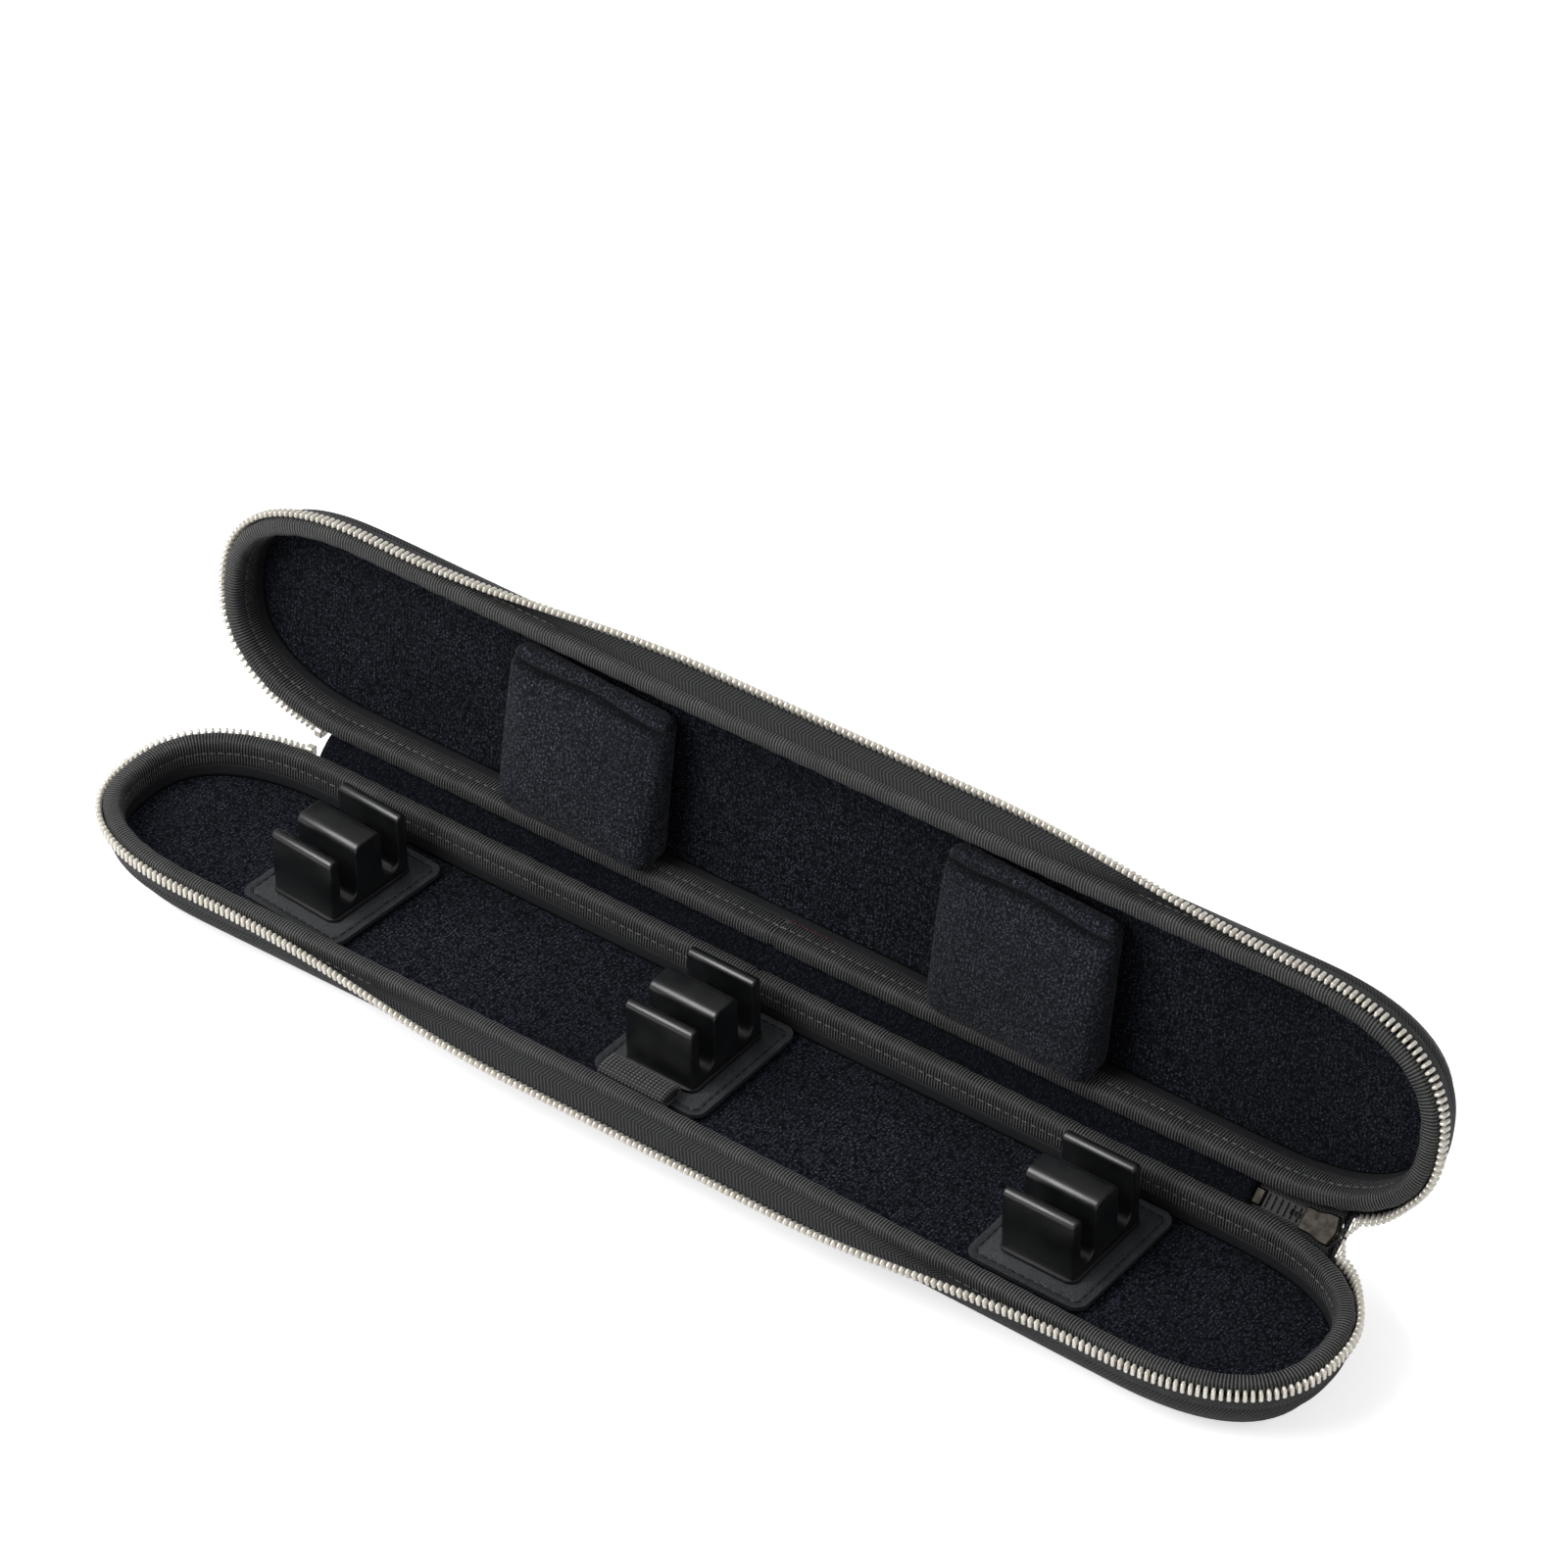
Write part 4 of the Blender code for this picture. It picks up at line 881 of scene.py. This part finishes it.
tree, given, put = new_effect("knit_loops", ("Place", "Loops"), ("Height", "Fleck", "Shade"))
knit_loops = tree
loops = add_node(tree, "TexVoronoi", {"Vector": given["Place"], "Scale": given["Loops"]})
fluff = noise(tree, 1900.0, 2.0, given["Place"])
high = ranged(tree, loops.outputs["Distance"], 0.0, 0.75, 1.0, 0.0)
tree.links.new(calculated(tree, "MULTIPLY_ADD", fluff, 0.6, high), put["Height"])
# Painted highlight: the flecks sit on the loop tops, vary with the fluff, and brighten and darken in columns
# along the knit
painted_loop_highlight = times(tree, high, ranged(tree, fluff, 0.44, 0.66))
along_case = add_node(tree, "SeparateXYZ", {0: given["Place"]}).outputs[0]
column = calculated(tree, "SINE", times(tree, along_case, 2 * math.pi / 0.0013))
painted_loop_highlight = times(tree, painted_loop_highlight, ranged(tree, column, -1.0, 1.0, 0.55, 1.15))
tree.links.new(painted_loop_highlight, put["Fleck"])
tree.links.new(noise(tree, 26.0, 3.0, given["Place"]), put["Shade"])


def pile(name, deep, fleck_highlight, loops, depth, fuzz, seam_shaded=False):
    """A looped or brushed cloth, deep between its loops, with pale flecks painted on its loop tops as
    highlights where they catch the light.

    A seam-shaded one has painted shade, near black, where its mesh's own values named seam are high."""
    dull = {"roughness": 0.9, "specular_ior_level": 0.12, "sheen_roughness": 0.5}
    made, tree, shader = new_finish(name, sheen_weight=fuzz, **dull)
    place = add_node(tree, "TexCoord").outputs["Object"]
    cloth = effect(tree, knit_loops, {"Place": place, "Loops": loops})
    share = times(tree, cloth["Fleck"], ranged(tree, cloth["Shade"], 0.3, 0.7, 0.7, 1.2))
    colour = mixed(tree, share, deep, fleck_highlight)
    if seam_shaded:
        # Painted shade: the colour goes near black where the seam values are high
        seam = add_node(tree, "Attribute", attribute_name="seam").outputs["Fac"]
        colour = mixed(tree, seam, colour, (0.0008, 0.0009, 0.0014))
    tree.links.new(colour, shader.inputs["Base Color"])
    bumped(tree, shader, cloth["Height"], 0.9, depth)
    return made


knit = pile("knit", (0.0008, 0.0011, 0.0026), (0.088, 0.102, 0.145), 1050.0, 0.0003, 0.02)
section = ((-0.0048, 0.0215), (-0.0046, 0.0150), (-0.0040, 0.01395), (-0.0044, 0.0138))
for tray in TRAYS:
    rows = rim_rows(tray, [(wall_out(drop) + out, drop) for out, drop in section])
    piece = strip(tray + "_knitted_floor", knit, rows)
    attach(piece, tray)
    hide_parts(tray + "_floor_pad")

# Lining band
# A smooth dark leatherette strip lines each wall between the ribbon and the knitted floor. It is glued to
# the board and follows it round the ends.

smooth_lining = leather("smooth_lining", (0.019, 0.020, 0.022), (0.012, 0.0125, 0.014), 1900.0, 0.55, 0.00004)
section = ((-0.0042, 0.0080), (-0.0043, 0.0100), (-0.0043, 0.0126), (-0.0041, 0.0137), (-0.0035, 0.0137))
section += ((-0.0035, 0.0080), section[0])
for tray in TRAYS:
    rows = rim_rows(tray, [(wall_out(drop) + out, drop) for out, drop in section])
    piece = strip(tray + "_lining_band", smooth_lining, rows)
    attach(piece, tray)
    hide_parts(tray + "_liner_band")

# Plush strip in the fold
# The inside of the folding spine is faced with a strip of navy plush, longer in the pile than the floors,
# and rubbed uneven by opening and closing.

plush = pile("plush", (0.0008, 0.0012, 0.0028), (0.032, 0.037, 0.060), 900.0, 0.0006, 0.02)
for name, upper in (("lower", False), ("upper", True)):
    piece = spine_strip(name + "_spine_plush", plush, NAP, 0.0011, 0.00025, upper)
    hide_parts("spine_plush")

# Rubber holders
# Each holder is one moulded block of black rubber with two deep slots with round bottoms across it. Its
# middle is broad and its outer fins are thin, all with soft edges, and a thin foot spreads on the patch.

HOLDERS = {
    "left": (-0.144578, 0.0030, -4.0),
    "middle": (-0.00575, 0.0055, -0.7),
    "right": (0.13478, 0.0050, -0.4),
}
BLOCK_FOOT = 0.0153

rubber, tree, shader = new_finish("rubber", specular_ior_level=1.0)
bloom = noise(tree, 130.0, 4.0)
coloured(tree, shader, ranged(tree, bloom, 0.35, 0.7), (0.0035, 0.0040, 0.0045), (0.0065, 0.0070, 0.0076))
tree.links.new(ranged(tree, bloom, 0.3, 0.7, 0.31, 0.42), shader.inputs["Roughness"])
bumped(tree, shader, noise(tree, 2500.0, 2.0), 0.15, 0.00005)


def on_base(name, high):
    """The place of a holder on the base at this height, turned as it lies."""
    x, y, yaw = HOLDERS[name]
    return Matrix.Translation((x, y, high)) @ Matrix.Rotation(math.radians(yaw), 4, "Z")


def select_only(piece, edges=None, faces=None):
    """Only these edges or faces of a piece are selected when edit mode is entered."""
    bpy.context.tool_settings.mesh_select_mode = (False, edges is not None, faces is not None)
    mesh = piece.data
    mesh.vertices.foreach_set("select", [False] * len(mesh.vertices))
    mesh.edges.foreach_set("select", edges or [False] * len(mesh.edges))
    mesh.polygons.foreach_set("select", faces or [False] * len(mesh.polygons))


def rounded_edges(piece, chosen, width, segments):
    """Rounds the edges that the choice picks by their two ends."""
    pick(piece)
    picked = []
    for edge in piece.data.edges:
        ends = [piece.data.vertices[i].co for i in edge.vertices]
        picked.append(chosen(*ends))
    select_only(piece, edges=picked)
    bpy.ops.object.mode_set(mode="EDIT")
    bpy.ops.mesh.bevel(offset=width, segments=segments, affect="EDGES", clamp_overlap=True)
    bpy.ops.object.mode_set(mode="OBJECT")


def finished(piece, place, finish, angle=180.0):
    """Carries the mesh to its place and gives it its finish, smooth but for edges sharper than this."""
    piece.data.transform(place)
    piece.data.update()
    pick(piece)
    bpy.ops.object.shade_smooth_by_angle(angle=math.radians(angle))
    piece.data.materials.clear()
    piece.data.materials.append(finish)


BLOCK = (0.0260, 0.0344, 0.0232)
BLOCK_TOP = BLOCK[2] - 0.0001
SLOT_CUT = (0.034, 0.0071, 0.026)
SLOT_Y = 0.00945
SLOT_FLOOR = 0.0035


def top_edge(a, b):
    """Whether an edge runs along the top of the block."""
    return abs(a.x - b.x) > 0.02 and min(a.z, b.z) > BLOCK_TOP


def side_edge(a, b):
    """Whether an edge belongs to the outline of a slotted side, above its foot."""
    return a.x * b.x > 0 and min(abs(a.x), abs(b.x)) > 0.0129 and max(a.z, b.z) > 0.002


for name in HOLDERS:
    piece = box(name + "_rubber", BLOCK, (0.0, 0.0, BLOCK[2] / 2))
    for slot_y in (-SLOT_Y, SLOT_Y):
        cut = box("slot_cut", SLOT_CUT, (0.0, slot_y, SLOT_FLOOR + SLOT_CUT[2] / 2))
        rounded_edges(cut, lambda a, b: abs(a.x - b.x) > 0.01 and max(a.z, b.z) < 0.01, 0.0034, 8)
        applied(piece, "BOOLEAN", object=cut, operation="DIFFERENCE", solver="EXACT")
        bpy.data.objects.remove(cut)
    rounded_edges(piece, lambda a, b: top_edge(a, b) and abs(a.y) < 0.007, 0.0030, 9)
    rounded_edges(piece, lambda a, b: top_edge(a, b) and abs(a.y) > 0.012, 0.00205, 8)
    rounded_edges(piece, side_edge, 0.0008, 3)
    foot = box("foot", (BLOCK[0] + 0.002, BLOCK[1] + 0.002, 0.0010), (0.0, 0.0, 0.0005))
    rounded_edges(foot, lambda a, b: abs(a.z - b.z) > 0.0005, 0.0035, 6)
    rounded_edges(foot, lambda a, b: min(a.z, b.z) > 0.0009, 0.0004, 2)
    applied(piece, "BOOLEAN", object=foot, operation="UNION", solver="EXACT")
    bpy.data.objects.remove(foot)
    finished(piece, on_base(name, BLOCK_FOOT), rubber, 40.0)
    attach(piece, "base")
    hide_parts(name + "_holder")

# Leather patches
# A grained leather patch with rounded corners lies under each holder. A row of dark stitches runs round it
# 2.5 mm inside its edge, sunk in a shallow groove, and hook tape under it grips the floor.

patch_leather = leather("patch_leather", (0.044, 0.048, 0.054), (0.016, 0.017, 0.019), 1300.0, 0.40, 0.00008)
thread_dark, tree, shader = new_finish("thread_dark", roughness=0.6)
coloured(tree, shader, noise(tree, 1800.0, 2.0), (0.001, 0.001, 0.001), (0.020, 0.020, 0.022))
hook_tape = pile("hook_tape", (0.002, 0.002, 0.0025), (0.02, 0.02, 0.021), 1800.0, 0.0003, 0.02)

PATCH = (0.0423, 0.0505, 0.0015)
PATCH_FOOT = 0.0135
SEAM_INSIDE = 0.0025
SEAM_CORNER = 0.0022
PATCH_STITCH_STEP = 0.0033
for name in HOLDERS:
    seat = on_base(name, PATCH_FOOT)
    piece = box(name + "_patch", PATCH, (0.0, 0.0, PATCH[2] / 2))
    rounded_edges(piece, lambda a, b: abs(a.z - b.z) > 0.001, 0.0045, 8)
    pick(piece)
    select_only(piece, faces=[face.normal.z > 0.9 for face in piece.data.polygons])
    bpy.ops.object.mode_set(mode="EDIT")
    for thickness, depth in ((0.0004, 0.0), (0.0017, 0.0), (0.0004, -0.0003), (0.0004, 0.0003)):
        bpy.ops.mesh.inset(thickness=thickness, depth=depth)
    bpy.ops.object.mode_set(mode="OBJECT")
    finished(piece, seat, patch_leather, 50.0)
    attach(piece, "base")
    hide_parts(name + "_holder_patch")
    x, y = (side / 2 - SEAM_INSIDE - SEAM_CORNER for side in PATCH[:2])
    loop = []
    for start, (mid_x, mid_y) in enumerate(((x, y), (-x, y), (-x, -y), (x, -y))):
        for i in range(7):
            angle = math.pi / 2 * (start + i / 6)
            loop.append((mid_x + SEAM_CORNER * math.cos(angle), mid_y + SEAM_CORNER * math.sin(angle)))
    loop = np.array(loop + loop[:1])
    runs = distances(loop[:, None])
    places = []
    count = int(runs[-1] / PATCH_STITCH_STEP)
    for i in range(count):
        ends = []
        for ahead in (0.0, 0.0002):
            run = (runs[-1] * i / count + ahead) % runs[-1]
            ends.append(Vector((*(np.interp(run, runs, loop[:, k]) for k in (0, 1)), PATCH[2] - 0.00002)))
        places.append(seat @ axes_at(ends[0], ends[1] - ends[0], Vector((0.0, 0.0, 1.0))))
    piece = laid_copies(name + "_patch_stitches", thread_dark, stitch_model(0.00027), places)
    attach(piece, "base")
refinish(hook_tape, *(name for name in nodes if name.endswith("_hook")))

# Elastic loop
# A 25 mm wide ribbed elastic is folded to a flat oval loop in front of the middle holder and sewn down. It
# holds a pencil. Its ribs cross in a grid, with painted highlights where their crests cross and painted
# shade, near black, in the grooves between them, and its cut ends are open.

elastic, tree, shader = new_finish("elastic", roughness=0.6, sheen_weight=0.2)
flat, along, across = cloth_place(tree)
cords = effect(tree, cross_ribs, {"Along": along, "Across": across, "Pitch": 0.00130})
rows_seen = effect(tree, cross_ribs, {"Along": across, "Across": along, "Pitch": 0.00115})
# Painted light: the colour follows both rib profiles, pale where their crests cross and near black in the
# grooves
painted_light = times(tree, cords["Rib"], rows_seen["Rib"])
coloured(tree, shader, painted_light, (0.0012, 0.0012, 0.0016), (0.22, 0.222, 0.22))
bumped(tree, shader, painted_light, 1.0, 0.0005)

LOOP_STEPS = 36
LOOP_WIDTH = 0.0251
LOOP_DEEP = 0.0095
LOOP_HIGH = 0.0048
LOOP_THICK = 0.0009
LOOP_START = -0.0020 - 0.01255
LOOP_Y = -(BLOCK[1] / 2 + 0.0010 + 0.0015 + LOOP_DEEP / 2)
LOOP_COLUMNS = 28


def loop_spot(number, i, face):
    """A place on the loop: an oval seen from its ends, whose inner face lies within the outer one."""
    angle = 2 * math.pi * number / LOOP_STEPS
    deep, high = (full / 2 - (LOOP_THICK if face < 0 else 0.0) for full in (LOOP_DEEP, LOOP_HIGH))
    y = LOOP_Y + math.copysign(abs(math.cos(angle)) ** 0.75, math.cos(angle)) * deep
    z = LOOP_HIGH / 2 + math.copysign(abs(math.sin(angle)) ** 0.85, math.sin(angle)) * high
    share = i / LOOP_COLUMNS
    ripple = 0.00010 * math.sin(share * 83.0 + angle) * math.sin(angle)
    return on_base("middle", BLOCK_FOOT) @ Vector((LOOP_START + LOOP_WIDTH * share, y, z + ripple))


rows = [row[:1] + row + row[-1:] for row in both_faces(LOOP_STEPS, LOOP_COLUMNS, loop_spot)]
piece = strip("pencil_loop", elastic, rows)
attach(piece, "base")
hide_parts("elastic_loop")

# Lid pads
# Two soft pads of brushed velour over foam sit in the lid and press on the batons when it is shut. Each is
# a bag with a seam near its upper edge, held on the lid's floor by hook tape under it.

velour = pile("velour", (0.0050, 0.0062, 0.0098), (0.140, 0.152, 0.192), 1150.0, 0.0003, 0.06, True)
PAD = (0.060, 0.0595, 0.0161)
SIM_STEPS = 20
MOST_SWELLING = 0.004
for name, x in (("left", -0.0800), ("right", 0.0868)):
    middle = Vector((x, -HALF_WIDTH + 0.0070 + PAD[1] / 2, -0.0138 + 0.0013 + PAD[2] / 2))
    piece = box(name + "_cushion", (PAD[0] - 0.003, PAD[1] - 0.003, PAD[2] - 0.004), middle)
    low, high = np.array(middle) - np.array(PAD) / 2, np.array(middle) + np.array(PAD) / 2
    applied(piece, "BEVEL", width=0.0035, segments=3)
    applied(piece, "REMESH", mode="VOXEL", voxel_size=0.0019)
    swelling = piece.modifiers.new("swelling", "CLOTH").settings
    swelling.use_pressure = True
    swelling.uniform_pressure_force = 4.0
    swelling.effector_weights.gravity = 0.0
    swelling.quality = 6
    pick(piece)
    start = np.array([v.co for v in piece.data.vertices])
    for step in range(1, SIM_STEPS + 1):
        bpy.context.scene.frame_set(step)
    bpy.ops.object.modifier_apply(modifier="swelling")
    bpy.context.scene.frame_set(1)
    went = np.array([v.co for v in piece.data.vertices]) - start
    far = np.linalg.norm(went, axis=1)[:, None]
    end = start + went * np.minimum(1.0, MOST_SWELLING / np.maximum(far, 1e-9))
    piece.data.vertices.foreach_set("co", end.reshape(-1))
    applied(piece, "SUBSURF", levels=1)
    spots = np.clip([v.co for v in piece.data.vertices], low, high)
    upper = np.clip((spots[:, 2] - middle.z) / (PAD[2] / 2), 0.0, 1.0)
    seam_line = high[1] - 0.0058 - 0.0006 * np.sin((spots[:, 0] - low[0]) * 150.0)
    seam = np.clip(1 - np.abs(spots[:, 1] - seam_line) / 0.0020, 0.0, None) * upper
    spots[:, 2] -= 0.0030 * seam
    # These values give the seam's groove its painted shade in the velour
    painted_seam_shade = piece.data.attributes.new("seam", "FLOAT", "POINT")
    painted_seam_shade.data.foreach_set("value", np.clip(1.6 * seam, 0.0, 0.9))
    # It is fullest at its lower right, hangs a little over the ribbon and spreads to the left
    right_share = (spots[:, 0] - low[0]) / PAD[0]
    lower_share = 1 - (spots[:, 1] - low[1]) / PAD[1]
    spots[:, 2] += upper * lower_share * (0.0015 + 0.0045 * right_share)
    spots[:, 2] -= upper * (1 - lower_share) ** 4 * 0.0055
    spots[:, 1] -= 0.0035 * lower_share * upper + (1 - lower_share) * (0.0015 + 0.0038 * right_share)
    spots[:, 0] -= 0.0050 * (1 - right_share)
    piece.data.vertices.foreach_set("co", spots.reshape(-1))
    finished(piece, LID_PLACE, velour)
    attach(piece, "lid")
    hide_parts(name + "_pad")
